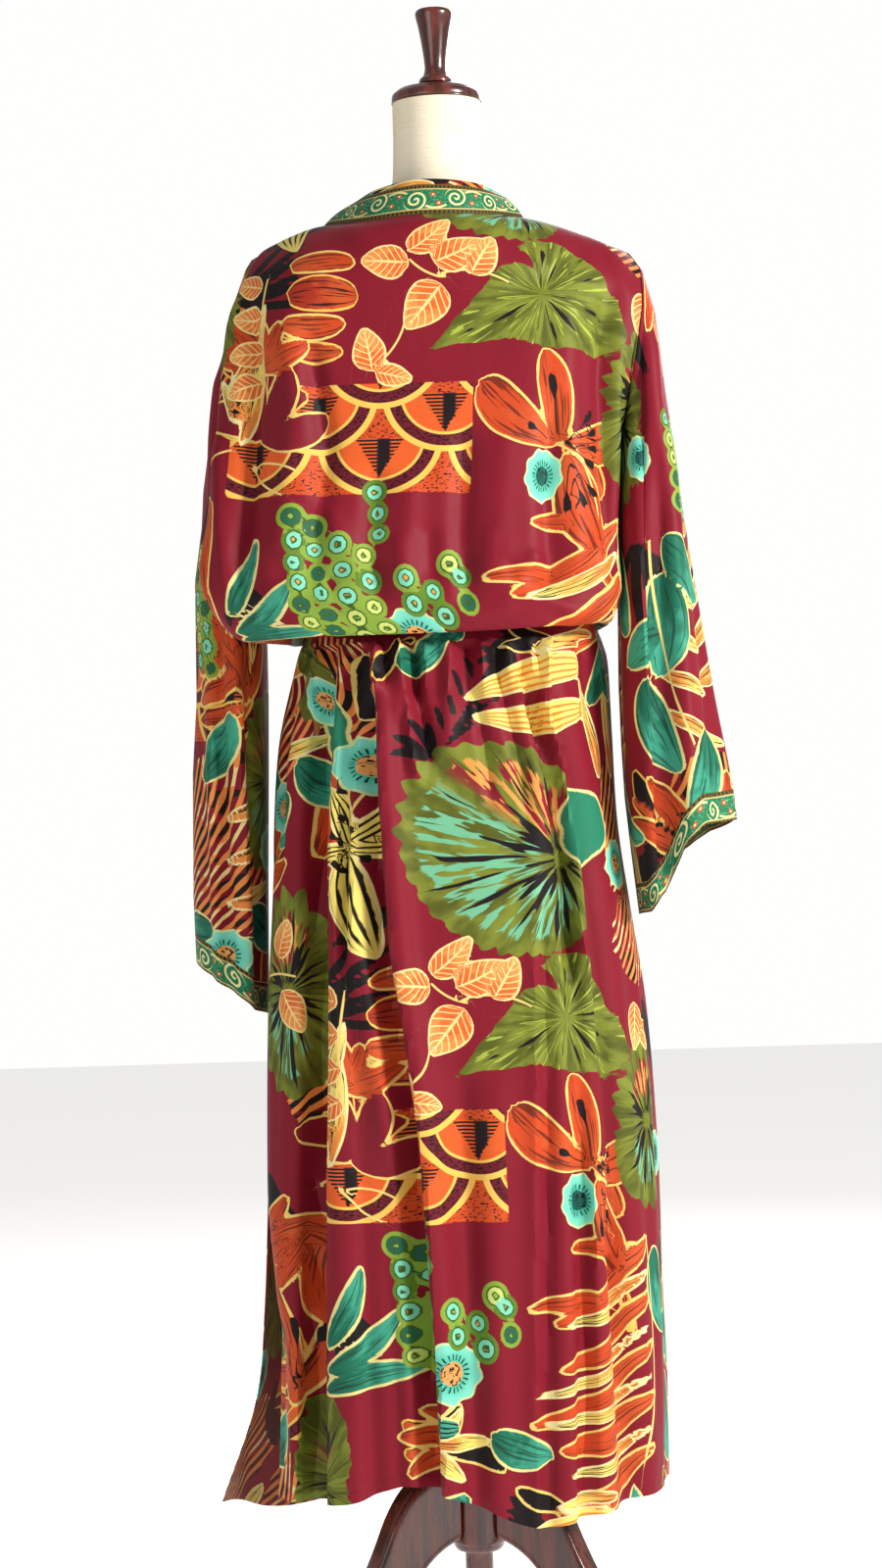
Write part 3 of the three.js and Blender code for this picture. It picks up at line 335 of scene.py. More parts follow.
def back_net():
    """The back's rows from neck to hem: shoulder, its rounding, the blouse, the way up under it
    and down to the belt, the skirt, and the rows that fan out to the hem."""
    neck = NECK_LINE - [0, SEAM / 2, 0]
    neck[0, 0] += ARMHOLE_SEAM
    neck[8, 0] -= ARMHOLE_SEAM
    neck = np.array([neck[0], lerp(neck[0], neck[1], NEAR_EDGE), *neck[1:8],
                     lerp(neck[8], neck[7], NEAR_EDGE), neck[8]])
    rims = lambda z: (armhole_at("left", z, -1), armhole_at("right", z, -1))
    chest = back_section(SECTIONS[0], *rims(CHEST), lambda x, f: CHEST)
    net = [neck, *rounding_rows(neck, chest, ((0, "left"), (-1, "right")), -1)]
    for s in SECTIONS:
        if s.get("slx") is None:
            ends = rims(s["z"])
        else:
            ends = (np.array([s["slx"], s["sly"], s["z"] + sag_at(s, -1)]),
                    np.array([s["srx"], s["sry"], s["z"] + sag_at(s, 1)]))
        net.append(back_section(s, *ends, lambda x, f: s["z"] + sag_at(s, f)))
    turns = np.array([0, 0.5, 1, 2, 3, 4, 5, 6, 7, 7.5, 8]) * math.pi / 8
    net += [np.array([waist_point(a, grow, z) for a in turns]) for z, grow in CLIMB]
    for s in SKIRT:
        ends = np.array([s["slx"], s["sly"], s["z"]]), np.array([s["srx"], s["sry"], s["z"]])
        net.append(back_section(s, *ends, lambda x, f: s["z"]))
    for s in HEMS:
        fan = lambda x, f=0: lerp(FAN_TOP, column(HEM_BACK, x), s["share"])
        ends = (np.array([s["slx"], s["sly"], fan(s["slx"])]),
                np.array([s["srx"], s["sry"], fan(s["srx"])]))
        net.append(back_section(s, *ends, fan))
    return np.array(net, float)


def front_columns(side, start, inner):
    """x of a row of a front: at fixed shares from its side edge to its inner edge, and one a
    band further on."""
    band = BAND if side == "left" else -BAND
    return [*(lerp(start, inner, share) for share in FRONT_SHARES), inner + band]


def lifted(side, x):
    """How far the left front stands out over the right one: a smooth step in x."""
    return OVERLAP_LIFT * smoothstep(*OVERLAP, x) if side == "left" else 0


def front_row(side, edge, depth, z_of, z_key):
    """A row of a front, from its side edge. Its depth follows the arch over x, and the left
    front lifts over the right one."""
    out = lambda x: edge[1] + (depth - edge[1]) * arch(min(1, abs(x / edge[0]))) + lifted(side, x)
    columns = front_columns(side, edge[0], column(FRONT_EDGE[side], z_key))
    return np.array([(x, out(x), z_of(x)) for x in columns], float)


def front_net(side):
    """A front's rows from shoulder to hem, in the order of the back's. Under the blouse they
    hang plainer the nearer they lie to the middle."""
    left = side == "left"
    top = NECK_LINE[[0, 1, 2]] if left else NECK_LINE[[8, 7, 6]]
    shoulder = through(top, np.array(FRONT_SHARES) * 2)
    shoulder[:, 1] = SEAM / 2
    shoulder[0, 0] += ARMHOLE_SEAM if left else -ARMHOLE_SEAM
    shoulder = np.vstack([shoulder, NECK_FREE[0 if left else -1]])
    rim = armhole_at(side, CHEST, 1)
    chest = front_row(side, rim, SECTIONS[0]["front"], lambda x: CHEST, CHEST)
    net = [shoulder, *rounding_rows(shoulder, chest, ((0, side),), 1)]
    sx, sy, sag = ("slx", "sly", "sagL") if left else ("srx", "sry", "sagR")
    for s in SECTIONS:
        if s.get("slx") is None:
            edge = armhole_at(side, s["z"], 1)
        else:
            edge = np.array([s[sx], s[sy] + SEAM, s["z"]])

        def sagging(x):
            """Height at x: the side's, less its drop, blended towards the plain fall."""
            share = 1 - min(1, abs(x / edge[0]))
            z = s["z"] + s[sag] * (1 - share)
            return lerp(z, PLAIN_FALL.get(s["z"], s["z"]), smoothstep(0.1, 0.6, share))

        net.append(front_row(side, edge, s["front"], sagging, s["z"]))
    for z, grow in CLIMB:
        waist = waist_point(0 if left else math.pi, grow, z)
        row = []
        for x in front_columns(side, waist[0], column(FRONT_EDGE[side], 1120)):
            inwards = 1 - smoothstep(0.5, 0.95, abs(x / waist[0]))
            y = max(SEAM, waist_depth(x, grow * (1 - inwards)))
            row.append((x, y + lifted(side, x), lerp(z, PLAIN_FALL.get(z, z), inwards)))
        net.append(np.array(row, float))
    for s in SKIRT:
        edge = np.array([s[sx], s[sy] + SEAM, 0])
        net.append(front_row(side, edge, s["front"], lambda x: s["z"], s["z"]))
    for s in HEMS:
        edge = np.array([s["flx"], s["fly"], 0] if left else [s["srx"], s["sry"] + SEAM, 0])
        fan = lambda x: lerp(FAN_TOP, column(HEM_FRONT, x), s["share"])
        net.append(front_row(side, edge, s["front"], fan, lerp(FAN_TOP, HEM, s["share"])))
    return np.array(net, float)


# ------------------------------------------------------------------ folds
def creased(x, z, creases):
    """Sum of soft ridges: each falls off as a bell of its width across a line of (x, z), wider
    on its right and steeper on its left by its lean, and fades to nothing at both ends."""
    out = np.zeros_like(x)
    for line, depth, width, *lean in creases:
        pts = np.array(line, float)
        steps = np.linalg.norm(np.diff(pts, axis=0), axis=1)
        total, run = steps.sum(), 0.0
        best, share, right = np.full_like(x, 1e9), np.zeros_like(x), np.zeros_like(x)
        for (ax, az), (bx, bz), size in zip(pts[:-1], pts[1:], steps):
            t = np.clip(((x - ax) * (bx - ax) + (z - az) * (bz - az)) / size**2, 0, 1)
            off = (x - ax - t * (bx - ax)) ** 2 + (z - az - t * (bz - az)) ** 2
            nearer = off < best
            best = np.where(nearer, off, best)
            share = np.where(nearer, (run + t * size) / total, share)
            right = np.where(nearer, np.sign((x - ax) * (az - bz) + (z - az) * (bx - ax)), right)
            run += size
        reach = width * (1 + (lean[0] if lean else 0) * right)
        taper = smoothstep(0, 0.2, share) * smoothstep(0, 0.2, 1 - share)
        out += depth * taper * np.exp(-best / reach**2)
    return out


def gathers(seed, low, high, top, bottom, pitch, depth):
    """Uneven short folds side by side, ridges and valleys in turn, from a row at height top
    down towards bottom. Each leans away from the middle in proportion to its x."""
    draw = np.random.RandomState(seed)
    folds, x = [], low
    while x < high:
        reach = lerp(top, bottom, draw.uniform(0.45, 1))
        drift = (x / 130) * draw.uniform(4, 14)
        folds.append(([(x, top + 26), (x + drift * 0.4, (top + reach) / 2), (x + drift, reach)],
                      depth * draw.uniform(0.5, 1.2) * (1 if len(folds) % 2 else -1),
                      pitch * draw.uniform(0.28, 0.42)))
        x += pitch * draw.uniform(0.6, 1.4)
    return folds


# Creases are given as a line of (x, z), depth, width and lean.
MAIN_PLEAT = [(-72, 1120), (-73, 934), (-66, 771), (-56, 700), (-44, 595), (-39, 503), (-33, 359),
              (-28, 90)]
LEFT_VALLEY = [(-118, 1120), (-134, 1000), (-144, 890), (-149, 688), (-155, 553), (-168, 90)]
RIGHT_EDGE = [(89, 1120), (103, 1047), (121, 987), (141, 867), (153, 734), (162, 570), (172, 300),
              (178, 90)]


def beside(line, x):
    """A line moved sideways by x."""
    return [(a + x, b) for a, b in line]


SKIRT_CREASES = [
    # long pleats: a ridge with a steep left flank, and the valley under it
    (MAIN_PLEAT, 6, 15, 0.6),
    (beside(MAIN_PLEAT, -15), -25, 8, -0.2),
    (beside(MAIN_PLEAT, -36), 6, 9),
    ([(-53, 1110), (-51, 1051), (-44, 985), (-36, 920)], 9, 6),
    ([(-42, 1110), (-36, 1040), (-24, 940)], -10, 6),
    (LEFT_VALLEY, -27, 9, 0.2),
    (beside(LEFT_VALLEY, -24), 7, 10),
    (beside(LEFT_VALLEY, 22), 6, 11),
    ([(-92, 1120), (-104, 1015), (-112, 900), (-116, 740)], -15, 6),
    ([(-161, 1090), (-178, 979), (-187, 891), (-190, 700), (-196, 400)], 6, 8),
    ([(-136, 1120), (-159, 1047), (-174, 960), (-178, 840)], -11, 6),
    ([(56, 1120), (66, 1047), (93, 948), (104, 840), (108, 700)], -15, 7, 0.3),
    ([(70, 1120), (80, 1047), (108, 948), (118, 840), (122, 640)], 6, 7),
    ([(36, 1110), (44, 1040), (64, 950), (70, 880)], -9, 6),
    ([(14, 1110), (18, 1040), (30, 960), (34, 900)], -8, 6),
    ([(-14, 1110), (-12, 1040), (-6, 950)], 5, 8),
    (RIGHT_EDGE, 5, 8, 0.4),
    (beside(RIGHT_EDGE, -14), -16, 8),
    ([(73, 900), (68, 640), (60, 400), (54, 90)], 4, 6),
    ([(84, 900), (80, 640), (72, 400), (66, 90)], -8, 8),
    ([(114, 660), (110, 400), (104, 90)], -11, 8),
    ([(30, 700), (22, 440), (14, 90)], 5, 16),
    ([(-6, 700), (-2, 400), (2, 90)], -10, 13),
    ([(-80, 640), (-76, 420), (-72, 90)], -8, 12),
    ([(-104, 900), (-110, 700), (-120, 362), (-124, 90)], 7, 13),
    ([(142, 560), (148, 360), (152, 90)], -11, 10),
    ([(-188, 440), (-190, 300), (-194, 90)], -9, 8),
    *gathers(5, -145, 140, 1078, 965, 14, 7),
]
BLOUSE_CREASES = [
    ([(168, 1440), (158, 1330), (160, 1230), (166, 1120)], -14, 9),
    ([(128, 1450), (120, 1330), (126, 1210), (138, 1100)], 6, 13),
    ([(112, 1330), (98, 1230), (100, 1120), (106, 1085)], -10, 11),
    ([(60, 1300), (48, 1190), (58, 1100)], 4, 15),
    ([(20, 1300), (12, 1180), (16, 1095)], -9, 11),
    ([(-36, 1250), (-44, 1160), (-36, 1095)], 5, 13),
    ([(-70, 1260), (-80, 1160), (-66, 1095)], -8, 11),
    ([(-196, 1440), (-188, 1340), (-198, 1230), (-212, 1110)], -14, 9),
    ([(-160, 1430), (-146, 1310), (-160, 1200), (-178, 1110)], 6, 14),
    ([(-136, 1400), (-118, 1270), (-134, 1160), (-140, 1100)], -10, 10),
    ([(-226, 1300), (-226, 1200), (-218, 1110)], 6, 8),
    ([(-150, 1240), (-110, 1190), (-90, 1120)], 4, 10),
    ([(-110, 1500), (-60, 1462), (10, 1452), (70, 1470)], 3, 13),
    ([(150, 1470), (100, 1430), (60, 1420)], -4, 12),
    # rolls above the blouse's lower edge
    ([(-200, 1118), (-150, 1132), (-96, 1112), (-50, 1104)], 5, 8),
    ([(-30, 1112), (20, 1100), (70, 1106)], 4, 8),
    ([(84, 1120), (118, 1100), (146, 1108), (164, 1136)], 8, 9),
    ([(70, 1142), (112, 1126), (142, 1142)], -10, 8),
    *gathers(3, -160, 152, 1104, 1195, 21, 4.4),
]
FRONT_CREASES = {
    "left": [
        ([(-120, 1470), (-100, 1370), (-70, 1270), (-40, 1160)], 7, 15),
        ([(-150, 1450), (-140, 1330), (-120, 1220), (-90, 1130)], -5, 12),
        ([(-90, 1380), (-66, 1280), (-30, 1180)], -5, 10),
        ([(-170, 1430), (-166, 1300), (-160, 1180)], 5, 10),
        ([(-60, 1110), (-66, 980), (-70, 760), (-72, 420), (-74, 90)], 11, 12, 0.4),
        ([(-30, 1110), (-34, 900), (-36, 600), (-38, 90)], -5, 11),
        ([(-110, 1110), (-124, 940), (-134, 700), (-150, 380), (-160, 90)], 11, 13, -0.3),
        ([(-88, 1100), (-98, 900), (-106, 600), (-112, 90)], -5, 11),
        ([(-150, 1060), (-168, 900), (-176, 640), (-196, 300), (-206, 90)], -5, 10),
        ([(-222, 420), (-234, 250), (-242, 90)], 6, 9),
        *gathers(11, -150, -10, 1078, 960, 15, 5),
    ],
    "right": [
        ([(96, 1470), (84, 1370), (60, 1270), (30, 1160)], 7, 15),
        ([(140, 1450), (134, 1330), (120, 1220), (84, 1130)], -5, 12),
        ([(158, 1430), (152, 1300), (146, 1180)], 5, 10),
        ([(76, 1110), (84, 940), (88, 700), (92, 420), (96, 90)], 12, 13, 0.4),
        ([(52, 1110), (54, 900), (56, 600), (58, 90)], -5, 12),
        ([(118, 1090), (130, 900), (142, 600), (150, 90)], -5, 12),
        ([(28, 1110), (24, 980), (26, 700), (28, 90)], 8, 10),
        *gathers(13, 10, 145, 1078, 960, 15, 5),
    ],
}
SLEEVE_CREASES = {  # on the back half of a sleeve (True) or its front half, and the crease
    "left": [
        (True, ([(-224, 1180), (-221, 1040), (-216, 900), (-214, 690)], 7, 7)),
        (True, ([(-204, 1150), (-206, 1000), (-206, 860), (-206, 680)], -9, 6)),
        (True, ([(-240, 1250), (-240, 1120), (-238, 980), (-232, 690)], -7, 6)),
        (True, ([(-214, 1420), (-212, 1330), (-218, 1230)], -6, 7)),
        (True, ([(-230, 1390), (-236, 1290), (-238, 1190)], 5, 6)),
        (True, ([(-258, 1080), (-260, 960), (-258, 820), (-252, 680)], -5, 6)),
        (True, ([(-194, 1330), (-192, 1240), (-198, 1120)], 5, 6)),
        (False, ([(-210, 1380), (-214, 1200), (-216, 1000), (-214, 650)], 8, 9)),
        (False, ([(-236, 1260), (-240, 1060), (-244, 860), (-242, 650)], -6, 8)),
    ],
    "right": [
        (True, ([(196, 1420), (192, 1320), (196, 1200), (200, 1000), (198, 780)], -9, 6)),
        (True, ([(218, 1330), (224, 1160), (230, 1000), (234, 820)], 7, 8)),
        (True, ([(246, 1180), (254, 1040), (262, 900), (264, 830)], -7, 7)),
        (True, ([(180, 1280), (176, 1080), (180, 900), (188, 790)], 5, 6)),
        (True, ([(208, 1400), (210, 1300), (214, 1210)], 5, 6)),
        (True, ([(268, 1040), (274, 940), (278, 850)], 4, 6)),
        (False, ([(196, 1380), (198, 1200), (204, 1000), (210, 760)], 8, 9)),
        (False, ([(228, 1260), (236, 1060), (246, 900), (250, 780)], -6, 8)),
    ],
}
# the back's cloth that lies hidden in a fold: the fold's line, and how much
TUCKED = [(beside(MAIN_PLEAT, -9), 62), (beside(LEFT_VALLEY, 0), 8), (beside(RIGHT_EDGE, -10), 16)]
BLOUSE_MOVE = (14, 9)  # how far the print lies across and up on the blouse


def grid_normals(points, outward):
    """Unit normals of a grid, turned so that they agree with the outward guide."""
    n = np.cross(np.gradient(points, axis=0), np.gradient(points, axis=1))
    n /= np.maximum(np.linalg.norm(n, axis=2, keepdims=True), 1e-9)
    agree = np.sum(n * outward, axis=2).mean()
    return n if agree > 0 else -n


# ------------------------------------------------------------------ meshes
def make_mesh(name, points, faces, materials, slots=None, fields=None, angle=50):
    """A mesh object from points in millimetres about the form's axis, with point fields. The
    faces have four corners, and a triangle repeats one. They are turned outwards by the sign
    of the volume they close in: a.(b x c) + a.(c x d), summed over them. Edges that turn by
    more than the angle stay sharp."""
    a, b, c, d = (points[faces[:, k]] for k in range(4))
    volume = np.einsum("ij,ij->", a, np.cross(b, c)) + np.einsum("ij,ij->", a, np.cross(c, d))
    if volume < 0:
        faces = faces[:, ::-1]
    mesh = bpy.data.meshes.new(name)
    corners = [list(dict.fromkeys(corner)) for corner in faces.tolist()]
    mesh.from_pydata(((points + AXIS) / 1000).tolist(), [], corners)
    for material in materials:
        mesh.materials.append(material)
    if slots is not None:
        mesh.polygons.foreach_set("material_index", slots)
    for key, values in (fields or {}).items():
        layer = mesh.attributes.new(key, "FLOAT_COLOR", "POINT")
        layer.data.foreach_set("color", np.asarray(values, np.float32).ravel())
    mesh.polygons.foreach_set("use_smooth", np.ones(len(faces), bool))
    mesh.update()
    if angle is not None:
        mesh.set_sharp_from_angle(angle=math.radians(angle))
    obj = bpy.data.objects.new(name, mesh)
    bpy.context.scene.collection.objects.link(obj)
    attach(obj, "root")
    return obj


def grid_faces(rows, cols, start=0, ring=False):
    """Faces between neighbouring rows and columns of a grid of points. A ring also joins its
    last column to its first."""
    i, j = np.meshgrid(np.arange(rows - 1), np.arange(cols if ring else cols - 1), indexing="ij")
    at = lambda a, b: start + a * cols + b % cols
    return np.stack([at(i, j), at(i + 1, j), at(i + 1, j + 1), at(i, j + 1)], axis=-1).reshape(-1, 4)


def capped(rings):
    """A closed skin over rings of points, one above the other, with a point in the middle of
    each end: its points and its faces."""
    rows, cols = rings.shape[:2]
    points = np.concatenate([rings.reshape(-1, 3), rings[[0, -1]].mean(axis=1)])
    ring, top = np.arange(cols), (rows - 1) * cols
    after = np.roll(ring, -1)
    first, last = np.full(cols, rows * cols), np.full(cols, rows * cols + 1)
    ends = [np.stack([ring, after, first, first], axis=1),
            np.stack([after + top, ring + top, last, last], axis=1)]
    return points, np.concatenate([grid_faces(rows, cols, ring=True), *ends])


def shell(name, outer, normals, materials, fields, thickness=CLOTH, ring=False):
    """Cloth with two faces: the outer grid, the same grid one thickness inwards, and a rim."""
    rows, cols = outer.shape[:2]
    points = np.concatenate([outer.reshape(-1, 3), (outer - normals * thickness).reshape(-1, 3)])
    face = grid_faces(rows, cols, 0, ring)
    count = rows * cols
    edge = [grid_faces(2, cols, 0, ring)[:, [0, 3]],
            grid_faces(2, cols, (rows - 1) * cols, ring)[:, [3, 0]]]
    if not ring:
        down = np.arange(rows - 1) * cols
        edge.append(np.stack([down + cols, down], axis=1))
        edge.append(np.stack([down + cols - 1, down + 2 * cols - 1], axis=1))
    edge = np.concatenate(edge)
    rim = np.stack([edge[:, 0], edge[:, 1], edge[:, 1] + count, edge[:, 0] + count], axis=1)
    faces = np.concatenate([face, face[:, ::-1] + count, rim])
    slots = np.repeat([0, 1, 0], [len(face), len(face), len(rim)])
    doubled = {k: np.concatenate([v.reshape(-1, 4)] * 2) for k, v in fields.items()}
    return make_mesh(name, points, faces, materials, slots, doubled)


# ------------------------------------------------------------------ print
CELL = (1040.0, 845.0)  # repeat of the print across and down, in cloth millimetres
FAR = 400.0  # distance where no motif is near
THINNEST = 2.4  # half width below which a tip is too thin to draw


def wrapped(x, y, at_x, at_y):
    """Offsets of points from a place, or from the nearest of its repeats."""
    w, h = CELL
    return (x - at_x + w / 2) % w - w / 2, (y - at_y + h / 2) % h - h / 2


class Fields:
    """Distance fields of motifs over cloth points: the nearest motif's signed distance in
    millimetres, its own two coordinates, and a number that picks its colours."""

    def __init__(self, x, y):
        """Nothing drawn yet: every distance is FAR."""
        self.x, self.y = x, y
        self.values = np.zeros(x.shape + (4,))
        self.values[..., 0] = FAR

    def near(self, x, y, reach):
        """Which points lie within reach of a place both ways, and their offsets from it."""
        dx, dy = wrapped(self.x, self.y, x, y)
        at = (np.abs(dx) < reach) & (np.abs(dy) < reach)
        return at, dx[at], dy[at]

    def keep(self, at, d, u, v, kind):
        """Takes a motif's values where its distance is the lowest yet. A line, whose kind is
        None, takes over where the size of its distance is."""
        held = self.values[at]
        nearer = np.abs(d) < np.abs(held[:, 0]) if kind is None else d < held[:, 0]
        fresh = np.stack(np.broadcast_arrays(d, u, v, 0.0 if kind is None else kind), axis=1)
        self.values[at] = np.where(nearer[:, None], fresh, held)

    def bowed(self, x, y, angle, length, bend, spare):
        """Places of the points near an axis that bows sideways by bend times its length: which
        points, their share of its length, the same kept within 0 and 1 (t), the distance to
        the side of the bow 4t(1 - t), and the distance past its ends."""
        at, dx, dy = self.near(x, y, length * 1.2 + spare)
        c, s = math.cos(math.radians(angle)), math.sin(math.radians(angle))
        run = (dx * c + dy * s) / length
        t = np.clip(run, 0, 1)
        side = dy * c - dx * s - bend * length * 4 * t * (1 - t)
        return at, run, t, side, np.maximum(-run, run - 1) * length

    def blade(self, x, y, angle, length, width, bend=0.0, kind=0.0, power=0.7, skew=1.0):
        """A leaf or petal from its base: with q = t^skew along it, half its width follows
        (4q(1-q))^power. A tip too thin to draw ends early."""
        at, run, t, side, past = self.bowed(x, y, angle, length, bend, 30)
        q = t**skew
        half = width / 2 * (4 * q * (1 - q)) ** power
        d = np.where(past > 0, np.hypot(side, past), np.abs(side) - half)
        d = np.maximum(d, (THINNEST - half) * 1.6)
        self.keep(at, d, run, np.clip(side / np.maximum(half, 1.5), -2, 2), kind)

    def stroke(self, x, y, angle, length, bend=0.0):
        """A thin line from its base. Its distance keeps a sign across the line, so that the
        line stays whole between points, and grows steeply away from it."""
        at, run, _, side, past = self.bowed(x, y, angle, length, bend, 20)
        far = np.maximum(0, np.abs(side) - 7) * 30 + np.maximum(0, past) * 20
        self.keep(at, side + np.sign(side) * far, run, side, None)

    def disc(self, x, y, radius, stretch=1.0, kind=0.0, wave=0.0):
        """An oval with a wavy edge: the distance from its middle, less the radius times
        1 + wave times the sine of nine times the angle."""
        at, dx, dy = self.near(x, y, radius * 2 + 20)
        angle = np.arctan2(dy, dx * stretch)
        reach = np.hypot(dx * stretch, dy)
        d = reach - radius * (1 + wave * np.sin(9 * angle))
        self.keep(at, d, angle / np.pi, reach / radius, kind)

    def polygon(self, x, y, outline, kind):
        """Any outline round (x, y): distance to its nearest side, negative within."""
        pts = np.asarray(outline, float)
        at, px, py = self.near(x, y, np.abs(pts).max() + 30)
        best, inside = np.full_like(px, 1e9), np.zeros(px.shape, bool)
        for (ax, ay), (bx, by) in zip(pts, np.roll(pts, -1, axis=0)):
            ex, ey = bx - ax, by - ay
            t = np.clip(((px - ax) * ex + (py - ay) * ey) / (ex * ex + ey * ey), 0, 1)
            best = np.minimum(best, (px - ax - t * ex) ** 2 + (py - ay - t * ey) ** 2)
            if ay != by:
                inside ^= ((ay > py) != (by > py)) & (px < ex * (py - ay) / ey + ax)
        d = np.where(inside, -1, 1) * np.sqrt(best)
        self.keep(at, d, np.arctan2(-py, -px) / np.pi, np.hypot(px, py), kind)


def jagged(reaches, lobes, depth, seed=0):
    """Outline of a large leaf round its stalk: a smooth round of reaches, one for each equal
    turn from -180 degrees, cut into uneven saw teeth."""
    draw = np.random.RandomState(seed)
    share = np.linspace(0, 1, lobes * 6, endpoint=False)
    smooth = through([*reaches, reaches[0]], share * len(reaches))
    saw = (share * lobes) % 1
    cut = depth * np.abs(saw - 0.3) * np.repeat(draw.uniform(0.5, 1.5, lobes), 6)
    a = (share * 2 - 1) * np.pi
    reach = smooth * (1 - cut)
    return np.stack([reach * np.cos(a), reach * np.sin(a)], axis=1)


def fan(x, y, first, last, count, length, width, bend=0.0, kind=0.0, seed=1, uneven=0.18):
    """Blades that spread from a point between two angles, of uneven length."""
    draw = np.random.RandomState(seed)
    for i in range(count):
        grown = 1 + uneven * draw.uniform(-1, 1)
        yield (x, y, lerp(first, last, i / max(1, count - 1)) + draw.uniform(-4, 4),
               length * grown, width * grown, bend, kind)


def spray(path, angle, length, width, spread=0.0, bend=0.0, kind=0.0, seed=1):
    """Blades from points along a stem, each at its own angle."""
    draw = np.random.RandomState(seed)
    for i, (x, y) in enumerate(path):
        yield (x, y, angle + spread * (i - len(path) / 2) + draw.uniform(-5, 5),
               length * draw.uniform(0.8, 1.15), width * draw.uniform(0.85, 1.15), bend, kind)


def climb(x, y, lean, rise, count):
    """Even places along a stem."""
    return [(x + lean * i, y + rise * i) for i in range(count)]


def stalked(x, y, columns, rows, pitch, lean, seed, radius=10.4):
    """Beads in leaning columns, uneven as on a vine: place, radius, stretch and colour."""
    draw = np.random.RandomState(seed)
    return [(x + c * pitch + r * lean + draw.uniform(-2, 2),
             y + (r + c % 2 / 2) * pitch + draw.uniform(-2, 2),
             radius * draw.uniform(0.8, 1.08), draw.uniform(0.85, 1.25), draw.uniform())
            for c in range(columns) for r in range(rows)]


# Kinds of blade: a colour up to 0.9, striped below 0.16, hollow, or filled black. A row of blades
# holds x, y, angle, length, width, bend and kind, and may add its power and skew.
BLACK, HOLLOW = 1.0, 0.93
GRASS = [
    *fan(-236, 96, -46, 2, 6, 130, 9, 0.05, seed=2),
    *spray(climb(-22, 690, 9, -17, 6), -38, 62, 7, 0, -0.06, seed=3),
    *spray(climb(-22, 690, 9, -17, 5), -112, 44, 7, 0, 0.06, seed=4),
    *fan(-24, 696, -170, -125, 3, 50, 8, 0.12, seed=18),
    *spray(climb(-200, 884, 14, -7, 6), -44, 78, 9, 3, 0.05, seed=5),
    *fan(62, 590, 120, 205, 6, 52, 9, 0.06, seed=6),
    *fan(-196, 380, 40, 110, 6, 66, 10, 0.05, seed=7),
    *fan(262, 90, 60, 130, 7, 80, 12, 0.05, seed=8),
    *fan(-300, 250, 50, 130, 7, 90, 12, 0.05, seed=9),
    *fan(-420, 500, -40, 60, 7, 92, 12, 0.05, seed=10),
    *fan(440, 330, 100, 230, 8, 88, 12, 0.05, seed=12),
    *fan(-70, 560, -120, -60, 5, 60, 10, 0.05, seed=13),
    *fan(392, 742, 130, 250, 8, 90, 12, 0.05, seed=14),
    *fan(-480, 140, -60, 60, 7, 96, 12, 0.05, seed=15),
    *fan(258, 330, 30, 110, 5, 100, 12, 0.05, seed=16),
    *fan(230, 640, -20, 100, 6, 84, 12, 0.05, seed=17),
]
PETALS_A = [  # the upper petal layer
    (-156, 64, 2, 68, 25, -0.06, 0.2, 0.4, 0.9), (-162, 127, 2, 62, 26, 0.05, 0.2, 0.4, 0.9),
    # an open flower in outline, beside the stack
    *[(-186, 240, a, 78, 34, 0.12, HOLLOW, 0.55, 1.3) for a in (-160, -112, -64, -14)],
    # lily
    (120, 254, -102, 98, 32, 0.04, 0.5, 0.6, 1.1), (120, 254, -142, 104, 46, -0.08, 0.6, 0.45, 1.7),
    (120, 254, -12, 92, 42, 0.1, 0.7, 0.55, 1.3), (124, 262, 62, 116, 56, 0.06, 0.4, 0.6, 1.3),
    # fronds below it
    (176, 350, 192, 88, 20, 0.09, 0.3), (166, 392, 182, 124, 19, 0.05, 0.4),
    *spray(climb(208, 326, 1, 52, 5), 160, 178, 26, 2, -0.08, 0.5, 21),
    *fan(-192, 168, -168, -20, 5, 60, 26, 0.08, 0.3, 23),
    *fan(-88, 520, 150, 265, 4, 62, 22, 0.08, 0.6, 22),
    (-178, 690, 96, 122, 30, 0.05, 0.4), (-214, 690, 100, 100, 26, -0.05, 0.6),
    *fan(-268, 486, -125, -75, 3, 112, 20, 0.07, 0.6, 24),
    *fan(-232, 300, 95, 160, 3, 96, 26, 0.06, 0.5, 25),
    *spray(climb(-330, 330, -4, 30, 6), -30, 84, 22, 3, 0.06, 0.6, 26),
    *fan(300, 660, -150, -60, 4, 96, 26, 0.06, 0.6, 27),
    *fan(360, 60, 20, 130, 4, 96, 30, 0.06, 0.6, 28),
    *fan(-360, 820, -130, -20, 4, 96, 28, 0.06, 0.6, 29),
    *fan(480, 560, 90, 200, 4, 100, 28, 0.06, 0.6, 30),
    *fan(-470, 330, -30, 90, 4, 96, 28, 0.06, 0.6, 31),
    *fan(420, 840, 0, 110, 4, 90, 28, 0.06, HOLLOW, 32),
    *fan(-440, 650, 30, 150, 4, 90, 28, 0.06, 0.4, 33),
    (-66, 520, -46, 62, 24, 0.1, BLACK), (-40, 520, 20, 66, 22, -0.1, BLACK),
    (30, 560, 24, 56, 18, 0.06, BLACK), (-166, 650, -58, 84, 34, 0.05, BLACK),
    (206, 690, -96, 110, 24, 0.05, BLACK),
]
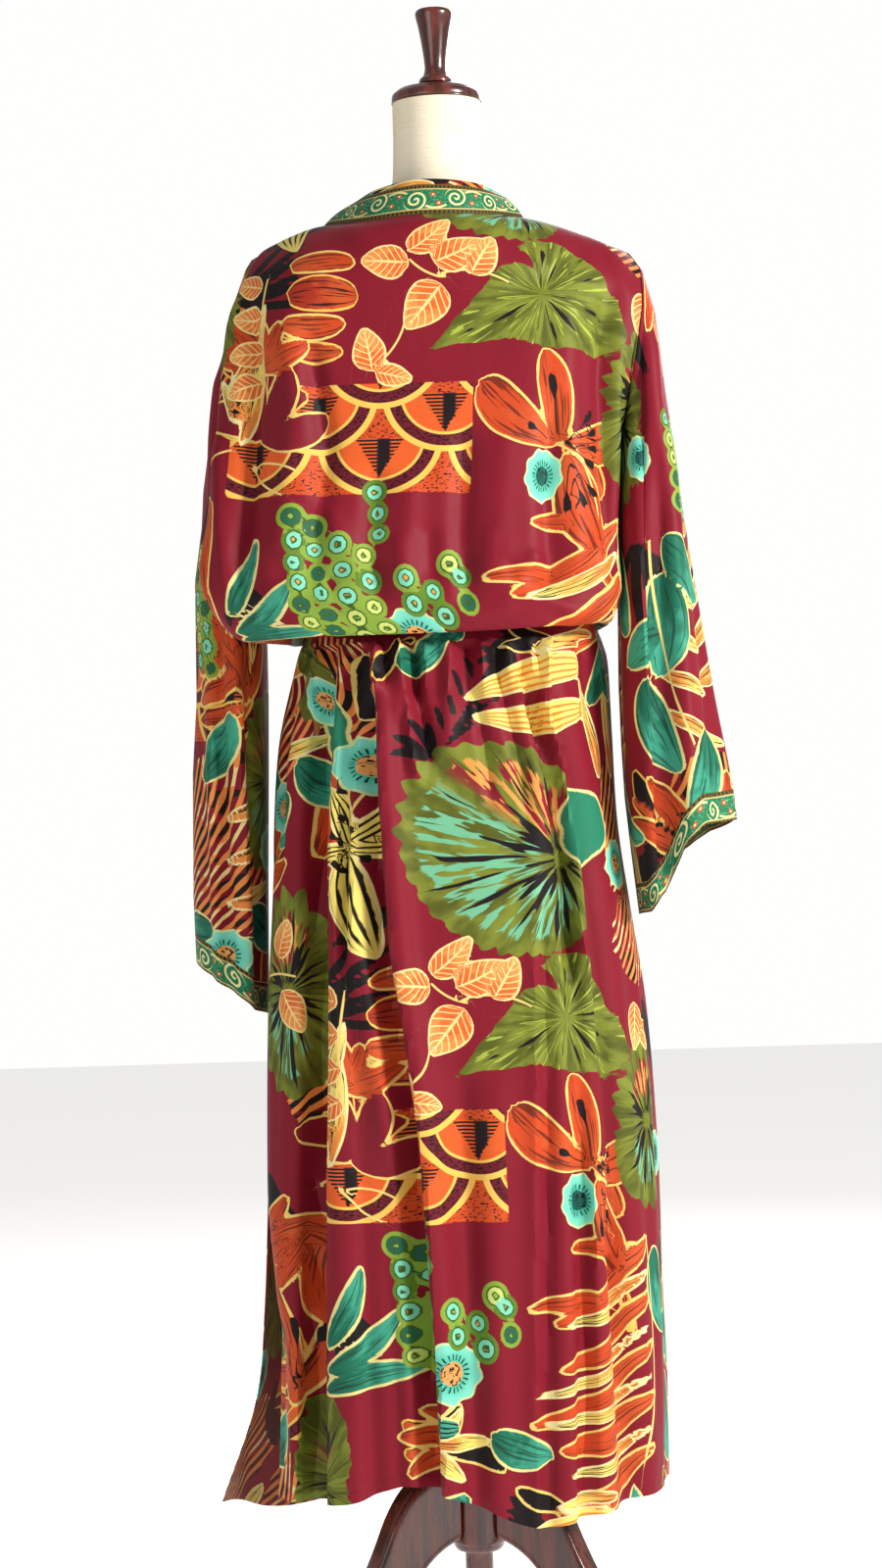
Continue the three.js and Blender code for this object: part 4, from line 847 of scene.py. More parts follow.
PETALS_B = [  # the lower one
    (-158, 96, 5, 72, 37, -0.04, 0.3, 0.42, 0.9), (-160, 149, 8, 60, 21, 0.05, 0.3, 0.4, 0.9),
    *[(-186, 240, a, 68, 30, -0.12, HOLLOW, 0.55, 1.3) for a in (-136, -88, -38)],
    (122, 256, 40, 78, 30, -0.1, 0.8, 0.6), (116, 268, 66, 176, 18, -0.06, 0.9, 0.6),
    *fan(-192, 172, -150, -45, 3, 52, 22, -0.08, HOLLOW, 51),
    *fan(-88, 520, 172, 240, 3, 56, 20, -0.08, 0.8, 42),
    (-194, 706, 90, 120, 22, 0.05, 0.7),
    *fan(-268, 486, -112, -86, 2, 96, 16, 0.07, 0.8, 43),
    *spray(climb(-332, 345, -4, 30, 6), -20, 76, 18, 3, 0.06, 0.8, 44),
    *fan(300, 660, -135, -75, 3, 86, 22, 0.06, 0.8, 45),
    *fan(360, 60, 38, 112, 3, 88, 22, 0.06, 0.8, 46),
    *fan(-360, 820, -112, -38, 3, 88, 22, 0.06, 0.8, 47),
    *fan(480, 560, 108, 182, 3, 90, 22, 0.06, 0.8, 48),
    *fan(-470, 330, -10, 70, 3, 88, 22, 0.06, 0.8, 49),
    *fan(-440, 650, 50, 130, 3, 84, 22, 0.06, 0.8, 50),
    (-60, 574, 118, 46, 18, 0.06, BLACK), (236, 560, 60, 90, 26, 0.06, BLACK),
]
SPEARS = [
    (144, 600, 167, 146, 34, 0.05, 0.13, 0.75, 0.6), (152, 644, 178, 142, 32, -0.05, 0.13, 0.75, 0.6),
    (150, 578, 176, 84, 12, 0.05, 0.8), (184, 716, -112, 112, 22, 0.05, 0.4),
    (212, 716, -100, 96, 18, 0.05, 0.8),
    # a star of striped petals
    (-173, 778, 79, 112, 42, 0.08, 0.08), (-173, 778, 3, 68, 25, -0.06, 0.08),
    (-173, 778, -50, 84, 28, 0.07, 0.08), (-173, 778, -105, 64, 24, 0.06, 0.08),
    (-173, 778, 172, 46, 20, -0.06, 0.08),
    *fan(-212, 226, -112, -60, 5, 62, 10, 0.05, 0.2, 60),
    *spray(climb(206, 358, 1, 52, 4), 162, 160, 13, 3, -0.08, 0.7, 61),
    *fan(-56, 508, -40, 50, 3, 58, 14, 0.06, 0.5, 62),
    *spray(climb(330, 330, 1, 36, 5), -32, 100, 19, 5, 0.06, 0.4, 63),
    *spray(climb(272, 380, 2, 40, 4), 20, 90, 15, 5, 0.06, 0.4, 64),
    *spray(climb(-300, 600, 0, 42, 3), -20, 86, 16, 6, 0.08, 0.6, 65),
    *fan(-420, 660, -60, 70, 5, 78, 20, 0.06, 0.3, 66),
    *fan(440, 180, 100, 220, 5, 84, 20, 0.06, 0.5, 67),
    (-205, 250, -84, 120, 14, 0.05, 0.6), (-222, 200, -70, 110, 13, 0.05, 0.8),
]
TEALS = [
    (6, 508, 22, 66, 36, 0.08, 0.9), (-24, 500, 196, 54, 24, -0.08, 0.1),
    (-64, 602, -36, 62, 34, 0.06, 0.4), (-12, 570, 152, 44, 26, 0.05, 0.6),
    (-216, 448, -40, 100, 24, 0.06, 0.6), (-220, 466, -14, 104, 24, -0.05, 0.9),
    (-216, 424, -66, 92, 22, 0.06, 0.4), (172, 640, -74, 70, 30, 0.08, 0.5),
    (186, 600, 30, 62, 28, 0.08, 0.2), (300, 330, 42, 92, 48, 0.08, 0.3),
    (292, 366, 96, 104, 44, -0.08, 0.3), (304, 420, 150, 76, 42, 0.08, 0.5),
    (262, 470, 74, 100, 42, 0.08, 0.2), (330, 520, 110, 96, 42, -0.08, 0.4),
    (222, 340, 80, 90, 40, 0.08, 0.6), (-250, 690, 30, 70, 44, 0.1, 0.5),
    (-262, 720, 120, 66, 44, 0.1, 0.2), (-310, 716, 176, 84, 40, 0.1, 0.4),
    (-330, 560, -60, 80, 38, 0.08, 0.5), (-330, 380, 160, 80, 36, 0.08, 0.4),
    (420, 640, -40, 84, 40, 0.08, 0.6), (470, 20, 60, 80, 38, 0.08, 0.3),
    (-430, 60, 120, 84, 38, 0.08, 0.5), (380, 250, -100, 80, 36, 0.08, 0.4),
]
SPRIG_LEAVES = [
    (-36, 70, 186, 48, 34, 0, 0.2), (-34, 58, -42, 58, 28, 0.04, 0.5),
    (-10, 70, -26, 56, 34, 0.04, 0.3), (26, 82, -58, 48, 34, 0, 0.6), (-4, 92, 129, 58, 42, 0, 0.4),
    (-69, 176, -106, 46, 32, 0, 0.5), (-66, 178, 14, 40, 22, 0, 0.2),
    *[(-190, 84 + 32 * r, 196 - 14 * r, 38, 27, 0, 0.3) for r in range(4)],
    (392, 560, 150, 48, 32, 0, 0.4), (410, 540, -60, 46, 30, 0, 0.2), (372, 590, 100, 48, 32, 0, 0.5),
    (216, 96, 100, 50, 30, 0, 0.3), (222, 120, 30, 46, 28, 0, 0.5), (-392, 190, 40, 48, 34, 0, 0.4),
    (-410, 170, -60, 46, 30, 0, 0.3), (-420, 200, 130, 48, 32, 0, 0.5),
    (-300, 60, 200, 46, 32, 0, 0.4), (-280, 40, -60, 44, 30, 0, 0.2), (-270, 74, 60, 48, 32, 0, 0.5),
]
STROKES = [  # thin pale stems: x, y, angle, length, bend
    (64, 92, 186, 76, 0.12), (-36, 64, 30, 44, 0.1), (-72, 176, -60, 66, 0.12),
    (-182, 70, 92, 130, 0.05), (168, 330, -118, 88, 0.06), (206, 330, 92, 250, -0.03),
    (-158, 722, 106, 56, 0.05), (-30, 470, 110, 60, 0.08), (430, 520, 130, 90, 0.05),
    (-370, 200, -176, 60, 0.08), (-250, 60, 176, 60, 0.08), (284, 330, 84, 210, 0.04),
    (-196, 262, 40, 60, 0.1), (-196, 268, 8, 56, -0.1), (-210, 250, 150, 40, 0.1),
]
STAMENS = [  # dark clubs over the flowers
    *[(122, 252, a, 46, 0.04) for a in (-44, -18, 8, 34)], *[(128, 272, a, 52, 0.04) for a in (44, 66, 88)],
    (118, 248, -100, 66, 0.03), (112, 250, -150, 34, 0.03),
    *[(-173, 778, a, 24, 0) for a in (-140, -75, 30, 130)],
    *[(-268, 470, a, 76, 0.05) for a in (-110, -90, -70)],
    *[(300, 660, a, 60, 0.05) for a in (-130, -105, -80)],
    *[(360, 60, a, 60, 0.05) for a in (40, 75, 110)], *[(-360, 820, a, 60, 0.05) for a in (-110, -75, -40)],
    *[(-470, 330, a, 60, 0.05) for a in (0, 35, 70)], *[(480, 560, a, 60, 0.05) for a in (110, 145, 180)],
    *[(-180, 706 + 26 * r, 80, 20, 0.1) for r in range(4)],
]
EYES = [  # x, y, radius, stretch, kind
    (103, 285, 26, 1.4, 0.2), (-153, 696, 28, 0.84, 0.6), (-214, 630, 24, 1.1, 0.8),
    (-32, 446, 30, 1.05, 0.8), (-94, 484, 15, 1.0, 0.6), (268, 250, 22, 1.0, 0.4),
    (-300, 736, 26, 0.9, 0.7), (420, 460, 26, 1.0, 0.5), (-470, 470, 26, 1.0, 0.3),
    (206, 800, 24, 1.0, 0.6), (470, 780, 26, 1.0, 0.2),
]
BEADS = [  # x, y, radius, stretch, kind
    *stalked(-142, 322, 2, 6, 22, 2, 71, 11.6), *stalked(-94, 350, 2, 5, 25, 3, 72, 13),
    *stalked(-30, 386, 3, 2, 26, 6, 73, 13), (14, 372, 13, 1.1, 0.6),
    *stalked(-62, 296, 1, 3, 22, 2, 74),
    *stalked(-350, 330, 2, 6, 21, 2, 75), *stalked(320, 210, 3, 5, 21, 1, 76),
    *stalked(440, 680, 3, 6, 21, 1, 77),
]
LOBED = [  # outline of the lobed leaf, in the print's own millimetres
    (-14, 158), (10, 128), (34, 100), (56, 74), (74, 70), (92, 76), (84, 60), (72, 54), (88, 42),
    (122, 42), (150, 60),
    (168, 82), (184, 112), (194, 150), (182, 160), (160, 168), (140, 160), (104, 158), (66, 148),
    (26, 152),
]
LEAVES = [  # x, y, outline and kind: 0 is plain, 1 is painted in bands of colour
    (96, 104, np.array(LOBED) - [96, 104], 0),
    (106, 792, jagged((168, 182, 138, 92, 70, 36, 26, 36, 60, 90, 112, 140), 46, 0.13, 81), 1),
    (-262, 74, jagged((44, 60, 112, 58, 46, 62, 110, 66), 26, 0.24, 82), 1),
    (224, 214, jagged((44, 66, 84, 60, 44, 66, 92, 70), 26, 0.24, 83), 1),
    (-226, 560, jagged((40, 58, 96, 50, 34, 52, 96, 62), 26, 0.24, 84), 0.4),
    (470, 400, jagged((96, 84, 60, 52, 50, 62, 74, 96), 15, 0.34, 85), 1),
    (-400, 760, jagged((84, 74, 60, 52, 50, 52, 64, 76), 15, 0.34, 86), 0.3),
    (-420, 400, jagged((60, 64, 70, 62, 50, 52, 64, 66), 15, 0.34, 87), 0),
    (330, 800, jagged((90, 74, 70, 62, 60, 52, 64, 76), 15, 0.34, 88), 0.6),
]
LOBES = [  # teal patches within the leaves
    (136, 762, jagged((28, 36, 40, 46, 52, 46, 40, 34), 6, 0.12, 91), 0.4),
    (-196, 664, jagged((24, 34, 42, 30, 22, 34, 40, 30), 5, 0.1, 92), 0.4),
]
SCALES = [(-92, 245, 246, 110), (-330, 470, 150, 96), (450, 130, 150, 110)]  # x, y, width, height
RULED = [  # x, y, width, height and curl of the patches of pale lines
    (-160, 636, 160, 130, 130), (-300, 620, 170, 190, 150), (330, 600, 110, 120, 120),
    (-450, 560, 120, 130, 130), (240, 30, 110, 100, 110), (-230, 150, 80, 150, 110),
    (208, 760, 60, 150, 120),
]


def print_fields(x, y):
    """Every motif layer over cloth points at (x, y) of the print, in millimetres. Each kind of
    blade has its own power and skew. A patch's distance is that of a rectangle for the scales
    and of an ellipse for the ruled patches, whose lines curl round a far point."""
    layers = {}
    for key, rows, shape in (
        ("grass", GRASS, (0.7, 1)), ("petals_b", PETALS_B, (0.62, 1)), ("petals_a", PETALS_A, (0.62, 1)),
        ("spears", SPEARS, (0.75, 0.9)), ("teals", TEALS, (0.6, 0.9)), ("sprigs", SPRIG_LEAVES, (0.95, 0.66)),
    ):
        f = layers[key] = Fields(x, y)
        for row in rows:
            f.blade(*row, *shape[max(0, len(row) - 7):])
    for key, rows, draw in (
        ("strokes", STROKES, Fields.stroke), ("stamens", STAMENS, Fields.stroke),
        ("eyes", [(*row, 0.06) for row in EYES], Fields.disc), ("beads", BEADS, Fields.disc),
        ("leaves", LEAVES, Fields.polygon), ("lobes", LOBES, Fields.polygon),
    ):
        f = layers[key] = Fields(x, y)
        for row in rows:
            draw(f, *row)
    f = layers["scales"] = Fields(x, y)
    for at_x, at_y, w, h in SCALES:
        at, dx, dy = f.near(at_x, at_y, max(w, h) / 2 + 20)
        f.keep(at, np.maximum(np.abs(dx) - w / 2, np.abs(dy) - h / 2), dx, dy, 0)
    f = layers["ruled"] = Fields(x, y)
    for at_x, at_y, w, h, curl in RULED:
        at, dx, dy = f.near(at_x, at_y, max(w, h) / 2 + 20)
        edge = (np.hypot(dx / w * 2, dy / h * 2) - 1) * min(w, h) / 2
        f.keep(at, edge, np.hypot(dx + curl, dy + curl * 0.6), dy, 0)
    return {key: f.values for key, f in layers.items()}


def cloth_fields(x, y, edge, border=None):
    """Print layers of a piece, with its place on the cloth and its distance from the hem."""
    fields = print_fields(x, y)
    fields["cloth"] = np.stack([x, y, np.broadcast_to(edge, x.shape), np.ones_like(x)], axis=-1)
    if border is not None:
        fields["border"] = np.stack([*border, np.zeros_like(x), np.ones_like(x)], axis=-1)
    return fields


# ------------------------------------------------------------------ materials
def rgb(code):
    """Linear colour of a hex code."""
    parts = [int(code[k:k + 2], 16) / 255 for k in (0, 2, 4)]
    return (*[p / 12.92 if p <= 0.04045 else ((p + 0.055) / 1.055) ** 2.4 for p in parts], 1.0)


INK = rgb("1A1214")  # the print's black
CREAM = rgb("EAD98C")
SCROLL = rgb("F0E4A0")


class Graph:
    """Adds nodes to a tree. Numbers and sockets go in alike, and a call gives the output."""

    def __init__(self, tree):
        """A graph that writes to this tree."""
        self.tree = tree

    def put(self, kind, ins=(), out=0, **props):
        """Adds one node with its inputs, by number or label. Gives its output, or the node."""
        node = self.tree.nodes.new(kind)
        for key, value in props.items():
            setattr(node, key, value)
        for key, value in ins.items() if isinstance(ins, dict) else enumerate(ins):
            if isinstance(value, bpy.types.NodeSocket):
                self.tree.links.new(value, node.inputs[key])
            else:
                node.inputs[key].default_value = value
        return node.outputs[out] if out is not None else node

    def math(self, operation, *ins):
        """One operation on numbers."""
        return self.put("ShaderNodeMath", ins, operation=operation)

    def plus(self, a, b):
        """a and b together."""
        return self.math("ADD", a, b)

    def minus(self, a, b):
        """a less b."""
        return self.math("SUBTRACT", a, b)

    def times(self, a, b):
        """a times b."""
        return self.math("MULTIPLY", a, b)

    def per(self, a, b):
        """a divided by b."""
        return self.math("DIVIDE", a, b)

    def size(self, a):
        """a without its sign."""
        return self.math("ABSOLUTE", a)

    def fract(self, a):
        """What a is over the whole number below it."""
        return self.math("FRACT", a)

    def length(self, x, y):
        """Root of the sum of the squares of x and y."""
        return self.math("SQRT", self.plus(self.times(x, x), self.times(y, y)))

    def step(self, x, low, high):
        """0 below low, 1 above high, smooth between; the other way round if low is above."""
        return self.put("ShaderNodeMapRange", {0: x, 1: low, 2: high}, interpolation_type="SMOOTHSTEP")

    def within(self, x, reach, soft=0.3):
        """1 where x is nearer to zero than reach."""
        return self.step(self.size(x), reach + soft, reach - soft)

    def both(self, a, b):
        """Where both masks are: their product."""
        return self.times(a, b)

    def either(self, a, b):
        """Where one of two masks is: the larger."""
        return self.math("MAXIMUM", a, b)

    def mix(self, share, a, b):
        """Colour a, mixed towards b by the share."""
        return self.put("ShaderNodeMix", {0: share, 6: a, 7: b}, 2, data_type="RGBA")

    def parts(self, vector):
        """The three numbers of a vector."""
        return self.put("ShaderNodeSeparateXYZ", (vector,), None).outputs

    def vector(self, x, y, z=0.0):
        """A vector of three numbers."""
        return self.put("ShaderNodeCombineXYZ", (x, y, z))

    def noise(self, vector, detail=2.0, rough=0.5):
        """Smooth noise round 0.5, with detail octaves, each rough times the one before."""
        ins = {"Vector": vector, "Scale": 1.0, "Detail": detail, "Roughness": rough}
        return self.put("ShaderNodeTexNoise", ins)

    def field(self, key):
        """A piece's own point field: its three numbers and its fourth."""
        node = self.put("ShaderNodeAttribute", out=None, attribute_name=key)
        return (*self.parts(node.outputs["Vector"]), node.outputs["Alpha"])

    def repeat(self, x, period):
        """Distance from the nearest multiple of period, with its sign."""
        return self.minus(self.times(self.fract(self.per(x, period)), period), period / 2)


def new_group(name, ins, outs):
    """A node group with labelled sockets: its graph, and what goes in and comes out."""
    group = bpy.data.node_groups.new(name, "ShaderNodeTree")
    kinds = {"c": "NodeSocketColor", "f": "NodeSocketFloat", "v": "NodeSocketVector"}
    for label, kind in ins:
        group.interface.new_socket(name=label, in_out="INPUT", socket_type=kinds[kind])
    for label, kind in outs:
        group.interface.new_socket(name=label, in_out="OUTPUT", socket_type=kinds[kind])
    g = Graph(group)
    return g, g.put("NodeGroupInput", out=None).outputs, g.put("NodeGroupOutput", out=None).inputs


def wire(g, value, socket):
    """Links a value to a socket."""
    g.tree.links.new(value, socket)


def blade_group():
    """Leaf or petal: fill from base to tip colour, streaks along it, side veins, midrib and
    outline, all from the signed distance and the place along and across the blade. A kind
    below 0.16 has stripes along it, black up to 0.10 and orange above. A kind near 0.93 shows
    the ground inside its outline, and a kind of 1 is filled black."""
    ins = [(label, "f") for label in ("Distance", "Along", "Across", "Kind")]
    ins += [(label, "c") for label in ("Base", "Tip", "Outline")]
    ins += [(label, "f") for label in ("Outline Width", "Veins", "Streaks")]
    g, i, o = new_group("Blade", ins, [("Color", "c"), ("Mask", "f")])
    grain = g.noise(g.vector(g.times(i["Along"], 5.2), g.times(i["Across"], 2.4),
                             g.times(i["Kind"], 31.0)), 2.5, 0.6)
    drawn = g.plus(i["Distance"], g.times(g.minus(grain, 0.5), 2.6))
    inside = g.step(drawn, 0.35, -0.35)
    weight = g.times(i["Outline Width"], g.plus(0.6, grain))
    line = g.step(g.minus(g.size(drawn), weight), 0.3, -0.3)
    striped = g.step(i["Kind"], 0.16, 0.14)
    fill = g.mix(g.either(striped, g.step(g.plus(i["Along"], grain), 0.75, 1.25)), i["Base"], i["Tip"])
    slant = g.minus(g.times(i["Along"], 7.0), g.times(g.size(i["Across"]), 1.7))
    side = g.within(g.minus(g.fract(slant), 0.5), 0.09, 0.05)
    rib = g.within(i["Across"], 0.07, 0.04)
    veins = g.both(g.either(side, rib), g.both(i["Veins"], inside))
    threads = g.noise(g.vector(g.times(i["Along"], 1.6), g.times(i["Across"], 5.5),
                               g.times(i["Kind"], 17.0)), 1.5, 0.5)
    ink = g.both(g.step(g.plus(threads, g.times(i["Along"], 0.08)), 0.60, 0.63), g.both(i["Streaks"], inside))
    color = g.mix(g.both(ink, g.step(i["Kind"], 0.14, 0.16)), fill, INK)
    spread = g.plus(i["Across"], g.times(grain, 0.16))
    off_stripe = g.size(g.repeat(spread, 0.44))
    stripe = g.step(g.minus(off_stripe, g.times(grain, 0.17)), 0.03, -0.03)
    stripe = g.both(g.both(stripe, striped), g.step(i["Along"], 0.95, 0.8))
    color = g.mix(stripe, color, g.mix(g.step(i["Kind"], 0.10, 0.11), INK, rgb("E58A3A")))
    color = g.mix(g.step(i["Kind"], 0.91, 0.92), color, rgb("7E1626"))
    color = g.mix(g.step(i["Kind"], 0.97, 0.98), color, INK)
    color = g.mix(veins, color, i["Outline"])
    color = g.mix(line, color, i["Outline"])
    wire(g, color, o["Color"])
    wire(g, g.either(inside, line), o["Mask"])
    return g.tree


def print_group():
    """The whole print, from the ground up: grass, ruled patches, scales, petals, spears,
    leaves, teal petals, sprigs, stems, eyes, beads and stamens."""
    blade = blade_group()
    g, _, o = new_group("Duster print", [], [("Color", "c")])
    x, y, _, _ = g.field("cloth")
    cloud = g.noise(g.vector(g.per(x, 60.0), g.per(y, 90.0)), 3.0)
    color = g.mix(cloud, rgb("7C1224"), rgb("881628"))

    def over(mask, top):
        """Lays a colour over the print where the mask is."""
        nonlocal color
        color = g.mix(mask, color, top)

    def blades(key, base, tip, outline, width, veins, streaks):
        """Lays a layer of blades over the print."""
        d, u, v, k = g.field(key)
        out = g.put("ShaderNodeGroup", out=None, node_tree=blade)
        for label, value in (("Distance", d), ("Along", u), ("Across", v), ("Kind", k)):
            wire(g, value, out.inputs[label])
        labels = ("Base", "Tip", "Outline", "Outline Width", "Veins", "Streaks")
        for label, value in zip(labels, (base, tip, outline, width, veins, streaks)):
            out.inputs[label].default_value = value
        over(out.outputs["Mask"], out.outputs["Color"])

    cream, yellow = rgb("EBD48A"), rgb("EFC25A")
    # patches of curved pale lines, some of them on black
    d, u, v, _ = g.field("ruled")
    weight = g.noise(g.vector(g.per(u, 40.0), g.per(v, 26.0)), 1.0)
    patch = g.step(g.plus(d, g.times(weight, 26.0)), 13.5, 12.5)
    over(g.both(patch, g.step(weight, 0.50, 0.53)), INK)
    thick = g.plus(0.5, g.times(weight, 3.4))
    over(g.both(patch, g.step(g.minus(g.size(g.repeat(u, 10.0)), thick), 0.3, -0.3)),
         g.mix(g.step(weight, 0.42, 0.46), cream, rgb("E58A45")))
    d, u, _, _ = g.field("grass")
    over(g.step(g.plus(d, cloud), 0.8, 0.2), INK)
    # scales: arcs in rows half a pitch apart, each with a hatched dark wedge
    d, u, v, _ = g.field("scales")
    patch = g.step(d, 0.5, -0.5)
    speck = g.noise(g.vector(g.per(u, 4.0), g.per(v, 2.0)), 2.0, 0.6)
    scales = g.mix(g.step(speck, 0.57, 0.60), rgb("CF4E22"), INK)
    pitch, rise, middle, outer = 128.0, 44.0, 43.0, 59.5  # the last two are radii of the pale rings
    for shift, top in ((pitch / 4, 0.0), (pitch * 3 / 4, -rise), (pitch / 4, -2 * rise)):
        cx = g.repeat(g.plus(u, shift), pitch)
        cy = g.minus(v, top)
        r = g.math("SQRT", g.plus(g.times(cx, cx), g.times(cy, g.times(cy, 1.15))))
        body = g.both(g.step(cy, -1.0, 1.0), g.step(r, 63.0, 62.0))
        wedge = g.minus(g.size(cx), g.minus(24.0, g.times(cy, 0.62)))
        wedge = g.step(g.plus(wedge, g.times(speck, 9.0)), 4.6, 4.0)
        hatch = g.either(g.within(g.repeat(cy, 3.6), 1.0, 0.3), g.step(g.size(g.minus(cx, 4.0)), 8.0, 5.0))
        inner = g.mix(g.both(wedge, hatch), rgb("DE5D27"), INK)
        rim = g.mix(g.step(speck, 0.52, 0.56), rgb("6E1626"), INK)
        inner = g.mix(g.step(r, middle, middle + 0.6), inner, rim)
        rings = g.either(g.within(g.minus(r, middle), 1.5), g.within(g.minus(r, outer), 3.2))
        inner = g.mix(rings, inner, yellow)
        scales = g.mix(body, scales, inner)
    over(patch, scales)
    orange, deep = rgb("CC5429"), rgb("A8321F")
    blades("petals_b", deep, orange, yellow, 1.1, 0.0, 0.9)
    blades("petals_a", orange, rgb("C8471F"), rgb("F0CE72"), 1.2, 0.0, 0.7)
    blades("spears", rgb("E8893C"), rgb("F3DC70"), rgb("F3E3A0"), 0.9, 0.0, 1.0)
    # large leaves, brushed outwards from the stalk
    d, u, v, k = g.field("leaves")
    rays = g.noise(g.vector(g.times(u, 13.0), g.per(v, 60.0), k), 2.5, 0.6)
    inside = g.step(g.plus(d, g.times(rays, 11.0)), 5.9, 5.2)
    leaf = g.mix(g.step(rays, 0.38, 0.62), rgb("54591B"), rgb("7E862F"))
    fine = g.noise(g.vector(g.times(u, 42.0), g.per(v, 52.0), k), 2.0, 0.55)
    bold = g.noise(g.vector(g.times(u, 17.0), g.per(v, 70.0), g.plus(k, 4.0)), 1.5, 0.5)
    painted = g.both(k, g.both(g.step(g.plus(d, g.times(fine, 30.0)), 3.0, 0.0), g.step(v, 22.0, 34.0)))
    above = g.both(g.step(u, 0.17, 0.24), g.step(u, 0.68, 0.60))
    below = g.both(g.step(u, 0.20, 0.14), g.step(u, -0.66, -0.56))
    leaf = g.mix(g.both(g.step(bold, 0.50, 0.47), g.both(painted, above)), leaf, rgb("8A1B2B"))
    leaf = g.mix(g.both(g.step(fine, 0.49, 0.52), g.both(painted, below)), leaf, rgb("72B990"))
    leaf = g.mix(g.both(g.step(fine, 0.51, 0.54), g.both(painted, above)), leaf, rgb("DE984A"))
    plain = g.step(k, 0.5, 0.2)
    leaf = g.mix(g.both(g.step(fine, 0.58, 0.62), plain), leaf, rgb("A5B548"))
    leaf = g.mix(g.both(g.step(fine, 0.34, 0.31), plain), leaf, rgb("35400F"))
    # dark veins from the stalk, thinner outwards and broken here and there
    ray = g.repeat(g.plus(u, g.times(bold, 0.05)), 0.075)
    off_ray = g.times(g.size(ray), g.times(v, math.pi))
    weight = g.times(g.minus(bold, 0.43), g.minus(30.0, g.per(v, 6.5)))
    tapered = g.both(weight, g.step(d, -4.0, -26.0))
    veins = g.both(g.step(g.minus(off_ray, tapered), 0.4, -0.3), g.step(v, 6.0, 12.0))
    leaf = g.mix(g.both(veins, g.either(g.step(k, 0.2, 0.5), g.step(bold, 0.60, 0.62))), leaf, INK)
    over(inside, leaf)
    blades("lobes", rgb("277E60"), rgb("277E60"), CREAM, 1.3, 0.0, 0.0)
    blades("teals", rgb("1C6E54"), rgb("3FA083"), CREAM, 1.3, 0.0, 0.6)
    d, _, _, _ = g.field("strokes")
    over(g.within(d, 1.1, 0.4), rgb("F0D27C"))
    blades("sprigs", rgb("DE6A2E"), rgb("EE9A50"), rgb("F6DC92"), 1.0, 1.0, 0.0)
    # eyes: an outer ring with dark spokes round a seeded middle
    d, u, v, k = g.field("eyes")
    spokes = g.within(g.minus(g.fract(g.times(u, 11.0)), 0.5), 0.16, 0.06)
    eye = g.mix(g.step(v, 0.3, 0.95), rgb("3FB59A"), rgb("7FD8C0"))
    eye = g.mix(g.both(spokes, g.both(g.step(v, 0.42, 0.46), g.step(v, 0.66, 0.60))), eye, INK)
    eye = g.mix(g.step(v, 0.42, 0.38), eye, g.mix(g.step(k, 0.45, 0.55), rgb("17584E"), rgb("E8A05A")))
    seeds = g.noise(g.vector(g.times(u, 6.0), g.times(v, 9.0), k), 1.0)
    eye = g.mix(g.both(g.step(v, 0.42, 0.38), g.step(seeds, 0.56, 0.60)), eye, INK)
    eye = g.mix(g.within(d, 1.2), eye, rgb("CDE0A0"))
    over(g.step(d, 1.4, 0.8), eye)
    # beads: green flesh round a pale ring with a warm pip
    d, u, v, k = g.field("beads")
    bead = g.mix(g.step(k, 0.3, 0.36), rgb("5F8228"), rgb("86A43C"))
    pale = g.mix(g.step(k, 0.5, 0.56), rgb("7FD6B4"), rgb("C9D873"))
    pale = g.mix(g.step(k, 0.82, 0.86), pale, rgb("27634B"))
    bead = g.mix(g.step(v, 0.74, 0.66), bead, pale)
    bead = g.mix(g.step(v, 0.32, 0.24), bead, g.mix(g.step(k, 0.5, 0.56), rgb("E0A050"), rgb("8FB048")))
    bead = g.mix(g.within(g.minus(v, 0.30), 0.06, 0.03), bead, rgb("3C5A22"))
    bead = g.mix(g.within(g.minus(v, 0.74), 0.06, 0.03), bead, rgb("3C5A22"))
    over(g.step(d, 1.9, 1.3), bead)
    d, u, _, _ = g.field("stamens")
    club = g.plus(0.5, g.times(3.2, g.both(g.step(u, 0.55, 0.8), g.step(u, 1.0, 0.92))))
    over(g.both(g.step(g.minus(g.size(d), club), 0.4, -0.3), g.step(u, 0.0, 0.05)), INK)
    wire(g, color, o["Color"])
    return g.tree


